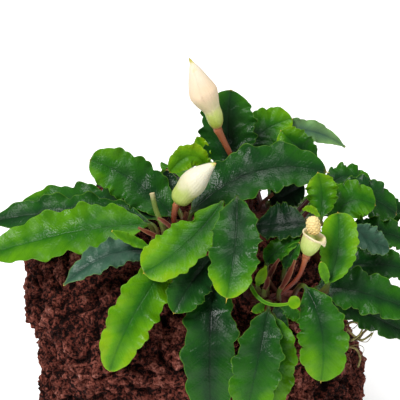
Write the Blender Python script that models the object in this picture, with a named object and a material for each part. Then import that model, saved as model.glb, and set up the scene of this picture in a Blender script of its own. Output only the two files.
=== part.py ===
"""Bucephalandra grown on a lump of red lava stone.

A creeping water plant: three lengths of rhizome lie over the top of the stone and carry
ruffled leaves on thin stems, three flowers on stalks and a few loose roots.
Units are metres and +Z is up.  The origin is the middle of the stone's flat foot, +X runs
along the stone's long side and -Y is the front.
"""

import math
from dataclasses import dataclass

import bmesh
import bpy
from mathutils import Vector, noise
from mathutils.bvhtree import BVHTree

MM = 0.001
CLEARANCE = 0.35 * MM
OBJECT_NAME = "bucephalandra_on_stone"

# The view that the pixel positions are given in
FRAME_PX = 400
LENS_MM = 150
SENSOR_MM = 36
VIEW_RISE = math.radians(25)
VIEW_DISTANCE = 476 * MM
VIEW_TARGET = Vector((0, 0, 75 * MM))

# Stone
STONE_MIDDLE = 34 * MM
STONE_ABOVE = 34.5 * MM
STONE_BELOW = 44 * MM
STONE_FRONT = 41 * MM
STONE_BACK = 39 * MM
STONE_SQUARENESS = 2.6
STONE_CUTS = 12
STONE_LEFT_REACH = ((0, 47), (12, 46.5), (25, 45.4), (31, 46.6), (40, 48.2), (48, 53), (56, 56), (74, 57))
STONE_RIGHT_REACH = (
    (0, 53), (12, 52.6), (15, 51.6), (20, 48.5), (26, 45.6), (30, 42.5), (45, 41), (60, 42), (74, 45),
)
HUMP_PLACE = (-30 * MM, 20 * MM)
HUMP_SPREAD = 12 * MM
HUMP_HEIGHT = 4.5 * MM
LUMP_SIZE = 15 * MM
LUMP_HEIGHT = 3.0 * MM
KNOB_SIZE = 6 * MM
KNOB_HEIGHT = 1.4 * MM
KNOB_SHIFT = Vector((7, 3, 5))
PIT_SPACING = 11 * MM
PIT_DEPTH = 3.0 * MM
PIT_SHARE = 0.32

# Rhizomes: points over the stone in millimetres, and the stem's half thickness
RHIZOMES = {
    "left": ((-18, -22), (-10.5, -17.5), (-3, -13), (4, -10)),
    "back": ((9, -8), (17, -6), (26, -6), (34, -9)),
    "front": ((12, -30), (19, -31.5), (27, -30), (34, -27)),
}
RHIZOME_RADIUS = 2.3 * MM
RHIZOME_STEPS = 11
RHIZOME_KNOB = 0.2
RHIZOME_TAPER = 0.25
NEARBY = 0.05

# Leaves
BLADE_STEPS = 15
STEM_STEPS = 3
STEM_HALF = 0.65 * MM
RIB_HALF = 0.36 * MM
STEM_RISE = 1.5 * MM
STEM_REACH = 0.4
BASE_POWERS = (2.2, 0.8)
TIP_POWERS = (3, 0.6)
TIP_THINNING = 0.4
SCALLOP = 0.07
SHARP_ANGLE = math.radians(50)

SLOTS = {
    "stone": ((0.155, 0.042, 0.03), 0.95),
    "leaf_dark": ((0.02, 0.09, 0.028), 0.35),
    "leaf_bright": ((0.12, 0.34, 0.02), 0.35),
    "leaf_grey": ((0.07, 0.14, 0.09), 0.4),
    "stem": ((0.13, 0.045, 0.02), 0.5),
    "stalk": ((0.36, 0.08, 0.035), 0.45),
    "spathe": ((0.87, 0.7, 0.47), 0.5),
    "kettle": ((0.52, 0.62, 0.13), 0.45),
    "spadix": ((0.85, 0.72, 0.42), 0.6),
    "root": ((0.36, 0.3, 0.1), 0.7),
}


def seen(pixel_x, pixel_y, away):
    """The point on a pixel's sight line that lies `away` millimetres behind the middle plane."""
    forward = Vector((0, math.cos(VIEW_RISE), -math.sin(VIEW_RISE)))
    upward = Vector((0, math.sin(VIEW_RISE), math.cos(VIEW_RISE)))
    eye = VIEW_TARGET - forward * VIEW_DISTANCE
    per_pixel = SENSOR_MM / LENS_MM / FRAME_PX
    sight = forward + Vector((1, 0, 0)) * (pixel_x - FRAME_PX / 2) * per_pixel
    sight += upward * (FRAME_PX / 2 - pixel_y) * per_pixel
    return eye + sight * (away * MM - eye.y) / sight.y


def at(x, y, z):
    """A point given in millimetres."""
    return Vector((x, y, z)) * MM


def between(points, share):
    """The value at `share` on the straight run between sorted (place, value) pairs."""
    if share <= points[0][0]:
        return points[0][1]
    for (low, first), (high, second) in zip(points, points[1:]):
        if share <= high:
            return first + (second - first) * (share - low) / (high - low)
    return points[-1][1]


def bezier(start, control, end, share):
    """A point on the quadratic curve from start to end."""
    near = start.lerp(control, share)
    far = control.lerp(end, share)
    return near.lerp(far, share)


def through(points, share):
    """A point on the smooth curve through all the points, `share` of the way along."""
    place = share * (len(points) - 1)
    index = min(int(place), len(points) - 2)
    local = place - index
    before = points[max(index - 1, 0)]
    first, second = points[index], points[index + 1]
    after = points[min(index + 2, len(points) - 1)]
    leave = (second - before) * 0.5
    arrive = (after - first) * 0.5
    square, cube = local**2, local**3
    return (
        first * (2 * cube - 3 * square + 1)
        + leave * (cube - 2 * square + local)
        + second * (3 * square - 2 * cube)
        + arrive * (cube - square)
    )


def heading(points, share):
    """The way that the curve through the points runs at `share` of its length."""
    return through(points, min(share + NEARBY, 1)) - through(points, max(share - NEARBY, 0))


def make_materials():
    """One Principled material for each slot."""
    made = {}
    for slot, (colour, roughness) in SLOTS.items():
        material = bpy.data.materials.new(slot)
        material.use_nodes = True
        shader = material.node_tree.nodes["Principled BSDF"]
        shader.inputs["Base Color"].default_value = (*colour, 1)
        shader.inputs["Roughness"].default_value = roughness
        shader.inputs["Metallic"].default_value = 0
        made[slot] = material
    return made


class Maker:
    """Puts named, dressed objects in the object's collection."""

    def __init__(self):
        self.materials = make_materials()
        self.collection = bpy.data.collections.new(OBJECT_NAME)
        bpy.context.scene.collection.children.link(self.collection)

    def place(self, name, data, slot):
        """A new object of this data, with the slot's material."""
        data.materials.append(self.materials[slot])
        made = bpy.data.objects.new(name, data)
        self.collection.objects.link(made)
        return made

    def mesh(self, name, points, faces, slot):
        """A smooth closed mesh whose faces point outwards."""
        data = bpy.data.meshes.new(name)
        data.from_pydata([tuple(point) for point in points], [], faces)
        shape = bmesh.new()
        shape.from_mesh(data)
        bmesh.ops.recalc_face_normals(shape, faces=shape.faces)
        shape.to_mesh(data)
        shape.free()
        data.shade_smooth()
        data.set_sharp_from_angle(angle=SHARP_ANGLE)
        return self.place(name, data, slot)

    def loft(self, name, rings, slot):
        """A skin over rings of points that all have the same count, closed at both ends.

        The two halves of the rings are split along opposite diagonals, so the top and the
        underside of a thin leaf bend alike and never cross.
        """
        count = len(rings[0])
        points = [point for ring in rings for point in ring]
        faces = []
        for index in range(len(rings) - 1):
            for step in range(count):
                here = index * count + step
                beside = index * count + (step + 1) % count
                ahead, across = here + count, beside + count
                if step < count // 2:
                    faces += [(here, beside, across), (here, across, ahead)]
                else:
                    faces += [(here, beside, ahead), (beside, across, ahead)]
        faces.append(tuple(reversed(range(count))))
        faces.append(tuple(range(len(points) - count, len(points))))
        return self.mesh(name, points, faces, slot)

    def tube(self, name, points, radii, slot, sides):
        """A round rod along the points, with its own radius at each of them."""
        data = bpy.data.curves.new(name, "CURVE")
        data.dimensions = "3D"
        data.bevel_depth = 1
        data.bevel_resolution = sides // 2 - 2
        data.use_fill_caps = True
        spline = data.splines.new("POLY")
        spline.points.add(len(points) - 1)
        for target, point, radius in zip(spline.points, points, radii):
            target.co = (*point, 1)
            target.radius = radius
        return self.place(name, data, slot)


def stone_point(direction):
    """Where the stone's surface lies in this direction from its middle."""
    power = STONE_SQUARENESS
    size = sum(abs(part) ** power for part in direction) ** (-1 / power)
    unit = direction * size
    height = STONE_MIDDLE + unit.z * (STONE_ABOVE if unit.z > 0 else STONE_BELOW)
    table = STONE_RIGHT_REACH if unit.x > 0 else STONE_LEFT_REACH
    across = between(table, max(height, 0) / MM) * MM
    depth = STONE_BACK if unit.y > 0 else STONE_FRONT
    return Vector((unit.x * across, unit.y * depth, height))


def stone_relief(point):
    """How far the lumps, knobs and pits of the lava stand out of the smooth form."""
    lumps = noise.noise(point / LUMP_SIZE) * LUMP_HEIGHT
    knobs = noise.noise(point / KNOB_SIZE + KNOB_SHIFT) * KNOB_HEIGHT
    nearest = noise.voronoi(point / PIT_SPACING)[0][0]
    return 2 * lumps + 2 * knobs - PIT_DEPTH * max(0, 1 - nearest / PIT_SHARE)


def build_stone(maker):
    """The lava stone: a squarish lump with coarse relief, ground flat where it stands."""
    shape = bmesh.new()
    bmesh.ops.create_cube(shape, size=2)
    bmesh.ops.subdivide_edges(shape, edges=shape.edges, cuts=STONE_CUTS, use_grid_fill=True)
    for vertex in shape.verts:
        direction = Vector(math.tan(part * math.pi / 4) for part in vertex.co).normalized()
        point = stone_point(direction)
        vertex.co = point + direction * stone_relief(point)
        if direction.z > 0:
            offset = Vector(HUMP_PLACE) - point.xy
            vertex.co.z += HUMP_HEIGHT * math.exp(-offset.length_squared / (2 * HUMP_SPREAD**2))
        vertex.co.z = max(vertex.co.z, 0)
    bmesh.ops.recalc_face_normals(shape, faces=shape.faces)
    data = bpy.data.meshes.new("stone")
    shape.to_mesh(data)
    shape.free()
    return maker.place("stone", data, "stone")


class Ground:
    """The surface that stems start from: the stone and the rhizomes on it."""

    TOP = 0.2
    TRIES = 12

    def __init__(self):
        self.trees = []

    def add(self, made):
        """Counts this object's surface in."""
        graph = bpy.context.evaluated_depsgraph_get()
        self.trees.append(BVHTree.FromObject(made, graph))

    def top(self, x, y):
        """The highest point of the surface over this place."""
        start = Vector((x, y, self.TOP))
        hits = (tree.ray_cast(start, Vector((0, 0, -1)))[0] for tree in self.trees)
        return max((hit for hit in hits if hit), key=lambda hit: hit.z)

    def lifted(self, point, room):
        """The point, moved out until nothing of the surface is nearer to it than `room`."""
        point = point + Vector((0, 0, room / 2))
        for _ in range(self.TRIES):
            for tree in self.trees:
                near, _, _, distance = tree.find_nearest(point)
                if distance < room:
                    point += (point - near).normalized() * (room - distance)
        return point


class Rhizome:
    """A creeping stem that follows the top of the stone."""

    def __init__(self, name, ground):
        self.name = name
        outline = [Vector((x * MM, y * MM, 0)) for x, y in RHIZOMES[name]]
        self.points = []
        for index in range(RHIZOME_STEPS):
            point = through(outline, index / (RHIZOME_STEPS - 1))
            point = ground.lifted(ground.top(point.x, point.y), RHIZOME_RADIUS + CLEARANCE)
            self.points.append(point)

    def build(self, maker):
        """The stem as a knobbly rod with a knob at each leaf scar."""
        radii = []
        for index in range(RHIZOME_STEPS):
            share = index / (RHIZOME_STEPS - 1)
            knob = 1 - RHIZOME_KNOB * (index % 2)
            taper = 1 - RHIZOME_TAPER * (1 - math.sin(math.pi * min(max(share, 0.1), 0.9)))
            radii.append(RHIZOME_RADIUS * knob * taper)
        return maker.tube(f"rhizome_{self.name}", self.points, radii, "stem", 8)

    def foot(self, share, aside, ground):
        """A place just over the stem, `share` along it and `aside` millimetres to its back."""
        point = through(self.points, share)
        along = heading(self.points, share)
        across = Vector((-along.y, along.x, 0)).normalized()
        point += across * aside * MM
        return ground.lifted(ground.top(point.x, point.y), STEM_HALF + CLEARANCE)


@dataclass
class Leaf:
    """One leaf: its stem's foot on a rhizome, and its blade's line, width and ruffles."""

    name: str
    foot: tuple
    base: Vector
    middle: Vector
    tip: Vector
    width: float
    facing: tuple = (0, -0.54, 0.84)
    slot: str = "leaf_dark"
    waves: float = 4.5
    ruffle: float = 1.0
    cup: float = 0.18
    widest: float = 0.45
    phase: float = 0
    steps: int = BLADE_STEPS

    def half_width(self, share):
        """Half the blade's width at `share` of the way from its base to its tip."""
        if share < self.widest:
            inner, outer = BASE_POWERS
            form = (1 - (1 - share / self.widest) ** inner) ** outer
        else:
            inner, outer = TIP_POWERS
            form = (1 - ((share - self.widest) / (1 - self.widest)) ** inner) ** outer
        return max(self.width * MM / 2 * form, STEM_HALF * (1 - TIP_THINNING * share))

    def line(self, foot):
        """The stations along the leaf, each with its share of the blade or None on the stem."""
        bend = 2 * self.middle - (self.base + self.tip) / 2
        leave = (bend - self.base).normalized()
        rise = self.base - leave * (self.base - foot).length * STEM_REACH
        rise.z = max(rise.z, foot.z + STEM_RISE)
        stations = []
        for index in range(STEM_STEPS):
            stations.append((bezier(foot, rise, self.base, index / STEM_STEPS), None))
        for index in range(self.steps + 1):
            share = index / self.steps
            stations.append((bezier(self.base, bend, self.tip, share), share))
        return stations

    def rings(self, foot):
        """Four points around each station: the two margins, and the rib above and below."""
        stations = self.line(foot)
        places = [place for place, _ in stations]
        look = Vector(self.facing).normalized()
        rings = []
        for index, (place, share) in enumerate(stations):
            ahead = places[min(index + 1, len(places) - 1)] - places[max(index - 1, 0)]
            ahead.normalize()
            up = (look - ahead * look.dot(ahead)).normalized()
            side = ahead.cross(up)
            if share is None:
                rib = STEM_HALF
                margins = ((-STEM_HALF, 0), (STEM_HALF, 0))
            else:
                rib = RIB_HALF
                margins = (self.margin(share, -1), self.margin(share, 1))
            left, right = (place + side * out + up * rise for out, rise in margins)
            rings.append([left, place + up * rib, right, place - up * rib])
        return rings

    def margin(self, share, hand):
        """How far out and how high a margin stands, on the left (-1) or the right (1)."""
        half = self.half_width(share)
        turn = 2 * math.pi * self.waves * share + self.phase + hand
        swell = math.sin(math.pi * share)
        out = hand * half * (1 + SCALLOP * swell * math.cos(turn))
        return out, half * self.cup + swell * self.ruffle * MM * math.sin(turn)

    def build(self, maker, rhizomes, ground):
        """The leaf as one lofted solid."""
        rhizome, share, aside = self.foot
        foot = rhizomes[rhizome].foot(share, aside, ground)
        return maker.loft(self.name, self.rings(foot), self.slot)


CAMERA_SIDE = (0, -0.95, 0.3)
HANGING = (0, -1, 0.25)

LEAVES = (
    Leaf("leaf_left_long", ("left", 0.22, 0.2), seen(146, 225, -19), seen(75, 232, -21),
         seen(-12, 255, -20), 16, slot="leaf_bright"),
    Leaf("leaf_left_middle", ("left", 0.32, 1.6), seen(150, 224, -12), seen(75, 213, -7),
         seen(-8, 222, -4), 11, phase=1),
    Leaf("leaf_left_back", ("left", 0.45, 1.9), seen(158, 219, -9), seen(92, 202, 2),
         seen(22, 203, 10), 10, phase=2),
    Leaf("leaf_back_round", ("left", 0.62, 1.0), seen(172, 216, -8), seen(135, 182, -3),
         seen(90, 160, 0), 13, facing=(0.1, -0.85, 0.5), phase=3),
    Leaf("leaf_back_dark", ("left", 0.72, 1.9), seen(178, 210, -4), seen(170, 194, 2),
         seen(167, 170, 6), 6.5, facing=CAMERA_SIDE, ruffle=0.3),
    Leaf("leaf_underside", ("left", 0.82, 1.6), seen(206, 166, 1), seen(190, 156, 0),
         seen(170, 172, -1), 7, facing=CAMERA_SIDE, slot="leaf_bright", ruffle=0.4),
    Leaf("leaf_centre_wide", ("left", 0.86, -0.4), seen(192, 212, -12), seen(255, 172, -5),
         seen(326, 172, -1), 15, facing=(-0.1, -0.6, 0.8), phase=0.5),
    Leaf("leaf_front_oval", ("left", 0.98, 0.4), seen(222, 203, -20), seen(185, 245, -34),
         seen(144, 273, -42), 13.5, slot="leaf_bright", ruffle=0.5),
    Leaf("leaf_front_low", ("left", 0.45, -1.8), seen(170, 262, -33), seen(140, 315, -43),
         seen(112, 371, -46), 12.5, facing=HANGING, slot="leaf_bright", phase=1.5),
    Leaf("leaf_front_glossy", ("left", 0.93, -1.9), seen(212, 258, -31), seen(190, 285, -40),
         seen(174, 313, -46), 12.5, facing=HANGING, phase=2.5, ruffle=0.4),
    Leaf("leaf_grey_left", ("left", 0.03, -0.6), seen(152, 252, -27), seen(108, 256, -31),
         seen(64, 285, -34), 9, slot="leaf_grey", phase=0.8),
    Leaf("leaf_young_left", ("left", 0.23, -2.0), seen(149, 247.5, -30.5), seen(131, 240.5, -31),
         seen(112, 231, -32), 3.2, slot="leaf_bright", ruffle=0.15, phase=0.4, steps=8),
    Leaf("leaf_cut_stem", ("left", 0.4, 0.2), seen(163, 228, -17), seen(156, 210, -16),
         seen(152, 193, -15), 1.6, facing=CAMERA_SIDE, slot="leaf_bright", ruffle=0, steps=7),
    Leaf("leaf_centre_front", ("back", 0.03, -1.4), seen(237, 198, -21), seen(235, 245, -38),
         seen(227, 298, -47), 14.5, phase=1.2),
    Leaf("leaf_top_broad", ("back", 0.1, 1.4), seen(232, 172, 5), seen(228, 130, 10),
         seen(231, 90, 13), 15.5, facing=CAMERA_SIDE, ruffle=0.6),
    Leaf("leaf_top_right", ("back", 0.3, 1.9), seen(238, 164, 13), seen(262, 133, 20),
         seen(292, 119, 25), 12, facing=(0, -0.7, 0.7), slot="leaf_bright", phase=2),
    Leaf("leaf_folded_right", ("back", 0.4, 2.0), seen(262, 160, 15), seen(297, 131, 26),
         seen(345, 147, 30), 8.5, facing=(0, -0.85, 0.5), slot="leaf_grey", phase=1),
    Leaf("leaf_behind_wide", ("back", 0.58, 1.9), seen(316, 162, 10), seen(297, 146, 10),
         seen(281, 131, 12), 9, facing=CAMERA_SIDE, ruffle=0.4),
    Leaf("leaf_shaded", ("back", 0.43, 0.6), seen(270, 203, -1), seen(286, 195, -1),
         seen(304, 186, 0), 8, facing=CAMERA_SIDE, ruffle=0.3),
    Leaf("leaf_near_black", ("back", 0.36, -1.6), seen(256, 225, -15), seen(280, 224, -17),
         seen(306, 222, -16), 14, facing=(0, -0.3, 0.95), ruffle=0.4, phase=2),
    Leaf("leaf_right_wavy", ("back", 0.66, 1.8), seen(328, 187, 8), seen(347, 176, 13),
         seen(371, 182, 17), 8, facing=(0, -0.4, 0.9), slot="leaf_bright", phase=1),
    Leaf("leaf_right_upright", ("back", 0.66, -1.2), seen(321, 217, -13), seen(322, 195, -10),
         seen(318, 173, -8), 8.5, facing=CAMERA_SIDE, slot="leaf_bright", widest=0.75),
    Leaf("leaf_right_dark", ("back", 0.77, 1.0), seen(340, 194, 3), seen(368, 198, 7),
         seen(396, 214, 10), 12.5, phase=2.2),
    Leaf("leaf_far_right", ("back", 0.86, 1.8), seen(375, 219, 14), seen(392, 211, 18),
         seen(407, 210, 22), 8, phase=0.4),
    Leaf("leaf_right_light", ("back", 0.82, -0.8), seen(333, 222, -9), seen(350, 202, -5),
         seen(375, 205, -3), 12, slot="leaf_bright", phase=1.8),
    Leaf("leaf_right_arched", ("back", 0.93, 0.4), seen(346, 240, -4), seen(378, 233, 0),
         seen(411, 244, 4), 10, phase=0.9),
    Leaf("leaf_right_ribbed", ("back", 0.98, -1.4), seen(352, 226, -14), seen(370, 240, -15),
         seen(389, 248, -14), 8, slot="leaf_grey", ruffle=0.5),
    Leaf("leaf_right_round", ("front", 0.62, 0.3), seen(328, 283, -37), seen(338, 250, -33),
         seen(338, 213, -28), 11.5, facing=CAMERA_SIDE, slot="leaf_bright", ruffle=0.2),
    Leaf("leaf_right_upper", ("front", 0.86, 1.6), seen(340, 268, -17), seen(375, 264, -16),
         seen(416, 273, -12), 9.5, phase=0.6),
    Leaf("leaf_right_long", ("front", 0.78, 0.4), seen(318, 288, -32), seen(358, 292, -33),
         seen(421, 314, -30), 12.5, phase=1.4),
    Leaf("leaf_right_low", ("front", 0.95, -0.2), seen(330, 297, -25), seen(365, 313, -24),
         seen(412, 336, -20), 10, phase=2.7),
    Leaf("leaf_front_right", ("front", 0.5, -1.6), seen(306, 288, -38), seen(322, 330, -46),
         seen(321, 381, -48), 13.5, facing=HANGING, slot="leaf_bright", phase=2),
    Leaf("leaf_front_long", ("front", 0.03, -0.4), seen(214, 277, -30), seen(210, 335, -45),
         seen(211, 416, -49), 14.5, facing=HANGING, phase=0.2),
    Leaf("leaf_front_hanging", ("front", 0.16, -1.6), seen(268, 311, -42), seen(259, 355, -51),
         seen(247, 413, -54), 13, facing=HANGING, phase=1.1),
    Leaf("leaf_front_behind", ("front", 0.28, -1.8), seen(274, 318, -40), seen(278, 360, -46),
         seen(268, 413, -48), 9.5, facing=HANGING, slot="leaf_bright", phase=0.7),
    Leaf("leaf_under_black", ("front", 0.46, 1.6), seen(267, 264, -26), seen(278, 250, -24),
         seen(300, 237, -22), 6, slot="leaf_bright", ruffle=0.3),
    Leaf("leaf_young_spear", ("front", 0.3, 0.0), seen(258, 284, -35), seen(262, 275, -35),
         seen(266, 266, -34), 2.6, facing=CAMERA_SIDE, slot="leaf_bright", ruffle=0, steps=6),
    Leaf("leaf_curled", ("front", 0.1, 0.8), seen(252, 288, -41), seen(270, 304, -45),
         seen(297, 301, -44), 3, facing=HANGING, slot="leaf_bright", ruffle=0),
    Leaf("leaf_rear_left", ("left", 0.52, 1.5), at(-13, 8, 74), at(-24, 23, 72), at(-32, 38, 50),
         12, facing=(-0.2, 0.4, 1), phase=1),
    Leaf("leaf_rear_middle", ("left", 0.93, 2.2), at(0, 6, 75), at(-5, 27, 72), at(-9, 45, 48),
         14, facing=(0, 0.4, 1), phase=2, slot="leaf_bright"),
    Leaf("leaf_rear_high", ("back", 0.2, 2.0), at(14, 10, 70.5), at(13, 29, 69), at(13, 46, 46),
         13, facing=(0, 0.4, 1), phase=3),
    Leaf("leaf_rear_low", ("back", 0.52, 2.2), at(23, 9, 69), at(27, 27, 62), at(29, 41, 42),
         12, facing=(0.2, 0.5, 1), phase=0.5, slot="leaf_bright"),
    Leaf("leaf_rear_right", ("back", 0.8, 1.6), at(31, 8, 66), at(41, 24, 58), at(48, 37, 40),
         11, facing=(0.4, 0.3, 1), phase=1.5),
)


@dataclass
class Flower:
    """A flower on its stalk: the lines of both and the half thickness along the flower."""

    name: str
    foot: tuple
    stalk: tuple
    stalk_radii: tuple
    axis: tuple
    radii: tuple
    slot: str = "spathe"

    SIDES = 8
    STALK_STEPS = 8

    def build(self, maker, rhizomes, ground):
        """The stalk as a tapered rod and the flower as a loft of round sections."""
        rhizome, share, aside = self.foot
        line = [rhizomes[rhizome].foot(share, aside, ground) + Vector((0, 0, CLEARANCE)), *self.stalk]
        shares = [index / (self.STALK_STEPS - 1) for index in range(self.STALK_STEPS)]
        points = [through(line, share) for share in shares]
        thin, thick = self.stalk_radii
        radii = [(thin + (thick - thin) * share**3) * MM for share in shares]
        maker.tube(f"stalk_{self.name}", points, radii, "stalk", 6)
        rings = []
        steps = len(self.radii) - 1
        for index, radius in enumerate(self.radii):
            share = index / steps
            middle = through(self.axis, share)
            rings.append(circle(middle, heading(self.axis, share), radius * MM, self.SIDES))
        maker.loft(f"flower_{self.name}", rings, self.slot)


def circle(middle, axis, radius, sides):
    """Points around the axis at an even spacing."""
    turn = axis.normalized().to_track_quat("Z", "Y")
    spots = (2 * math.pi * index / sides for index in range(sides))
    return [middle + turn @ Vector((math.cos(a), math.sin(a), 0)) * radius for a in spots]


FLOWERS = (
    Flower("tall", ("back", 0.24, 0.0),
           (seen(248, 200, -2), seen(239, 172, 2), seen(218, 130, 1)), (0.7, 1.25),
           (seen(217, 127, 1), seen(213, 112, 1), seen(203, 92, 1), seen(193, 66, 1),
            seen(189, 58, 1)),
           (1.35, 2.3, 2.6, 2.5, 3.4, 4.3, 4.1, 3.1, 1.8, 0.6, 0.15)),
    Flower("white", ("left", 0.56, -1.2),
           (seen(174, 221, -20), seen(176, 206, -20)), (0.8, 1.0),
           (seen(177, 203, -20), seen(186, 191, -20), seen(199, 177, -20), seen(209, 168, -20),
            seen(216, 163, -20)),
           (1.1, 2.4, 3.1, 3.2, 3.6, 3.9, 3.7, 3.0, 2.0, 1.0, 0.2)),
    Flower("open", ("front", 0.37, -0.6),
           (seen(297, 279, -38), seen(306, 257, -37)), (0.75, 1.2),
           (seen(307, 254, -37), seen(310, 245, -37), seen(314, 236, -37)),
           (1.25, 1.9, 2.5, 2.7, 2.8, 3.1), slot="kettle"),
)

SPADIX_AXIS = (seen(314.5, 233, -37), seen(313.5, 226, -37), seen(312, 217, -37))
SPADIX_RADII = (1.3, 1.7, 1.9, 2.0, 1.95, 1.6, 0.8)

ROOTS = {
    "root_dark": (0.45, (seen(346, 339, -9), seen(353, 340, -8), seen(359, 338, -8),
                         seen(364, 332, -8), seen(370, 327, -9))),
    "root_green": (0.4, (seen(347, 329, -16), seen(353, 335, -15), seen(362, 340, -15),
                         seen(373, 333, -14))),
    "root_loop": (0.35, (seen(346, 325, -19), seen(353, 322, -20), seen(362, 326, -20),
                         seen(360, 334, -20), seen(351, 341, -19))),
    "root_low": (0.4, (seen(346, 346, -19), seen(356, 349, -20), seen(360, 358, -20),
                       seen(358, 367, -20))),
}
ROOT_STEPS = 9
ROOT_TAPER = 0.3


def build_spadix(maker):
    """The pollen club that stands in the open flower."""
    steps = len(SPADIX_RADII) - 1
    rings = []
    for index, radius in enumerate(SPADIX_RADII):
        share = index / steps
        middle = through(SPADIX_AXIS, share)
        ahead = SPADIX_AXIS[2] - SPADIX_AXIS[0]
        rings.append(circle(middle, ahead, radius * MM, Flower.SIDES))
    maker.loft("spadix", rings, "spadix")


def build_roots(maker):
    """The loose roots over the stone's right shoulder."""
    for name, (radius, line) in ROOTS.items():
        shares = [index / (ROOT_STEPS - 1) for index in range(ROOT_STEPS)]
        points = [through(line, share) for share in shares]
        radii = [radius * MM * (1 - ROOT_TAPER * share) for share in shares]
        maker.tube(name, points, radii, "root", 4)


def clear_scene():
    """Empties the scene."""
    for old in list(bpy.data.objects):
        bpy.data.objects.remove(old, do_unlink=True)


def main():
    """Builds the stone first, then all that grows on it."""
    clear_scene()
    maker = Maker()
    ground = Ground()
    ground.add(build_stone(maker))
    rhizomes = {name: Rhizome(name, ground) for name in RHIZOMES}
    for rhizome in rhizomes.values():
        ground.add(rhizome.build(maker))
    for leaf in LEAVES:
        leaf.build(maker, rhizomes, ground)
    for flower in FLOWERS:
        flower.build(maker, rhizomes, ground)
    build_spadix(maker)
    build_roots(maker)


main()
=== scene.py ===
"""Looks of a bucephalandra that creeps over the top of a lump of red lava stone.

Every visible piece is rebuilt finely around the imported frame: the porous stone, the creeping
stems, the ruffled leaves, the flowers and the roots.  Lengths are in metres unless a name ends
in _mm.  +Z is up and -Y is the front.
"""

import logging
import math
from dataclasses import dataclass
from enum import Enum

import bmesh
import bpy
import numpy as np
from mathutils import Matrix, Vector, noise
from mathutils.bvhtree import BVHTree


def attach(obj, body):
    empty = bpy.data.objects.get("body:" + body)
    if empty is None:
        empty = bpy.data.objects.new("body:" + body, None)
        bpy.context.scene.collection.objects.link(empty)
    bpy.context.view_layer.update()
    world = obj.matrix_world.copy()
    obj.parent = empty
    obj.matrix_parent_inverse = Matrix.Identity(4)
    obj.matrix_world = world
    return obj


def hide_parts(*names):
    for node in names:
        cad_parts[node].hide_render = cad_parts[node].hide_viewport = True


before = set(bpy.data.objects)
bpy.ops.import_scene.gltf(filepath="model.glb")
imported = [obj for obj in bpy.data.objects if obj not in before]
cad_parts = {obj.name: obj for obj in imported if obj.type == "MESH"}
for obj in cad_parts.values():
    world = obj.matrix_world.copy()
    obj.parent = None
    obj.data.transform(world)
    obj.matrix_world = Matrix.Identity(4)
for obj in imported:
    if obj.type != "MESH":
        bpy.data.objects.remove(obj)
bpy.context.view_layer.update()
LOG = logging.getLogger("bucephalandra")

MM = 0.001
FULL_TURN = 2 * math.pi
CLEARANCE = 0.35 * MM

Colour = tuple[float, float, float]
Socket = bpy.types.NodeSocket
Object = bpy.types.Object


class Slot(Enum):
    """The material slots that the object's record names."""

    STONE = "stone"
    LEAF_DARK = "leaf_dark"
    LEAF_BRIGHT = "leaf_bright"
    LEAF_GREY = "leaf_grey"
    STEM = "stem"
    STALK = "stalk"
    SPATHE = "spathe"
    KETTLE = "kettle"
    SPADIX = "spadix"
    ROOT = "root"


@dataclass(frozen=True)
class View:
    """The view that places are given in, and the camera that stands there."""

    pixels: int = 400
    lens_mm: float = 150
    sensor_mm: float = 36
    rise: float = math.radians(25)
    distance: float = 0.476
    target: tuple[float, float, float] = (0, 0, 0.075)

    def forward(self) -> Vector:
        """The way that the view looks."""
        return Vector((0, math.cos(self.rise), -math.sin(self.rise)))

    def eye(self) -> Vector:
        """Where the camera stands."""
        return Vector(self.target) - self.forward() * self.distance

    def seen(self, pixel_x: float, pixel_y: float, away_mm: float) -> Vector:
        """Finds a place from where it is seen and how deep it lies.

        Args:
            pixel_x: pixels from the left edge of the view.
            pixel_y: pixels from its top edge.
            away_mm: how far the place lies behind the middle plane.

        Returns:
            The point on the pixel's sight line at that depth.
        """
        upward = Vector((0, math.sin(self.rise), math.cos(self.rise)))
        per_pixel = self.sensor_mm / self.lens_mm / self.pixels
        sight = self.forward() + Vector((1, 0, 0)) * (pixel_x - self.pixels / 2) * per_pixel
        sight += upward * (self.pixels / 2 - pixel_y) * per_pixel
        return self.eye() + sight * (away_mm * MM - self.eye().y) / sight.y

    def place_camera(self) -> None:
        """Puts the scene's camera at the eye."""
        data = bpy.data.cameras.new("camera")
        data.lens = self.lens_mm
        data.sensor_width = self.sensor_mm
        data.clip_start = 0.01
        camera = bpy.data.objects.new("camera", data)
        camera.location = self.eye()
        camera.rotation_euler = self.forward().to_track_quat("-Z", "Y").to_euler()
        bpy.context.scene.collection.objects.link(camera)
        bpy.context.scene.camera = camera


VIEW = View()


def seen(pixel_x: float, pixel_y: float, away_mm: float) -> Vector:
    """The point that the view shows at this pixel and depth."""
    return VIEW.seen(pixel_x, pixel_y, away_mm)


def at(x: float, y: float, z: float) -> Vector:
    """A point given in millimetres."""
    return Vector((x, y, z)) * MM


def through(points: list[Vector], share: float) -> Vector:
    """Runs along the smooth curve through some points.

    Args:
        points: what the curve passes through, as vectors or plain numbers.
        share: how far along the curve, from 0 to 1.

    Returns:
        The curve's value there.
    """
    place = share * (len(points) - 1)
    index = min(int(place), len(points) - 2)
    local = place - index
    before = points[max(index - 1, 0)]
    first, second = points[index], points[index + 1]
    after = points[min(index + 2, len(points) - 1)]
    leave = (second - before) * 0.5
    arrive = (after - first) * 0.5
    square, cube = local**2, local**3
    return (
        first * (2 * cube - 3 * square + 1)
        + leave * (cube - 2 * square + local)
        + second * (3 * square - 2 * cube)
        + arrive * (cube - square)
    )


def bezier(start: Vector, control: Vector, end: Vector, share: float) -> Vector:
    """A point on the quadratic curve from start to end."""
    return start.lerp(control, share).lerp(control.lerp(end, share), share)


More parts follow.
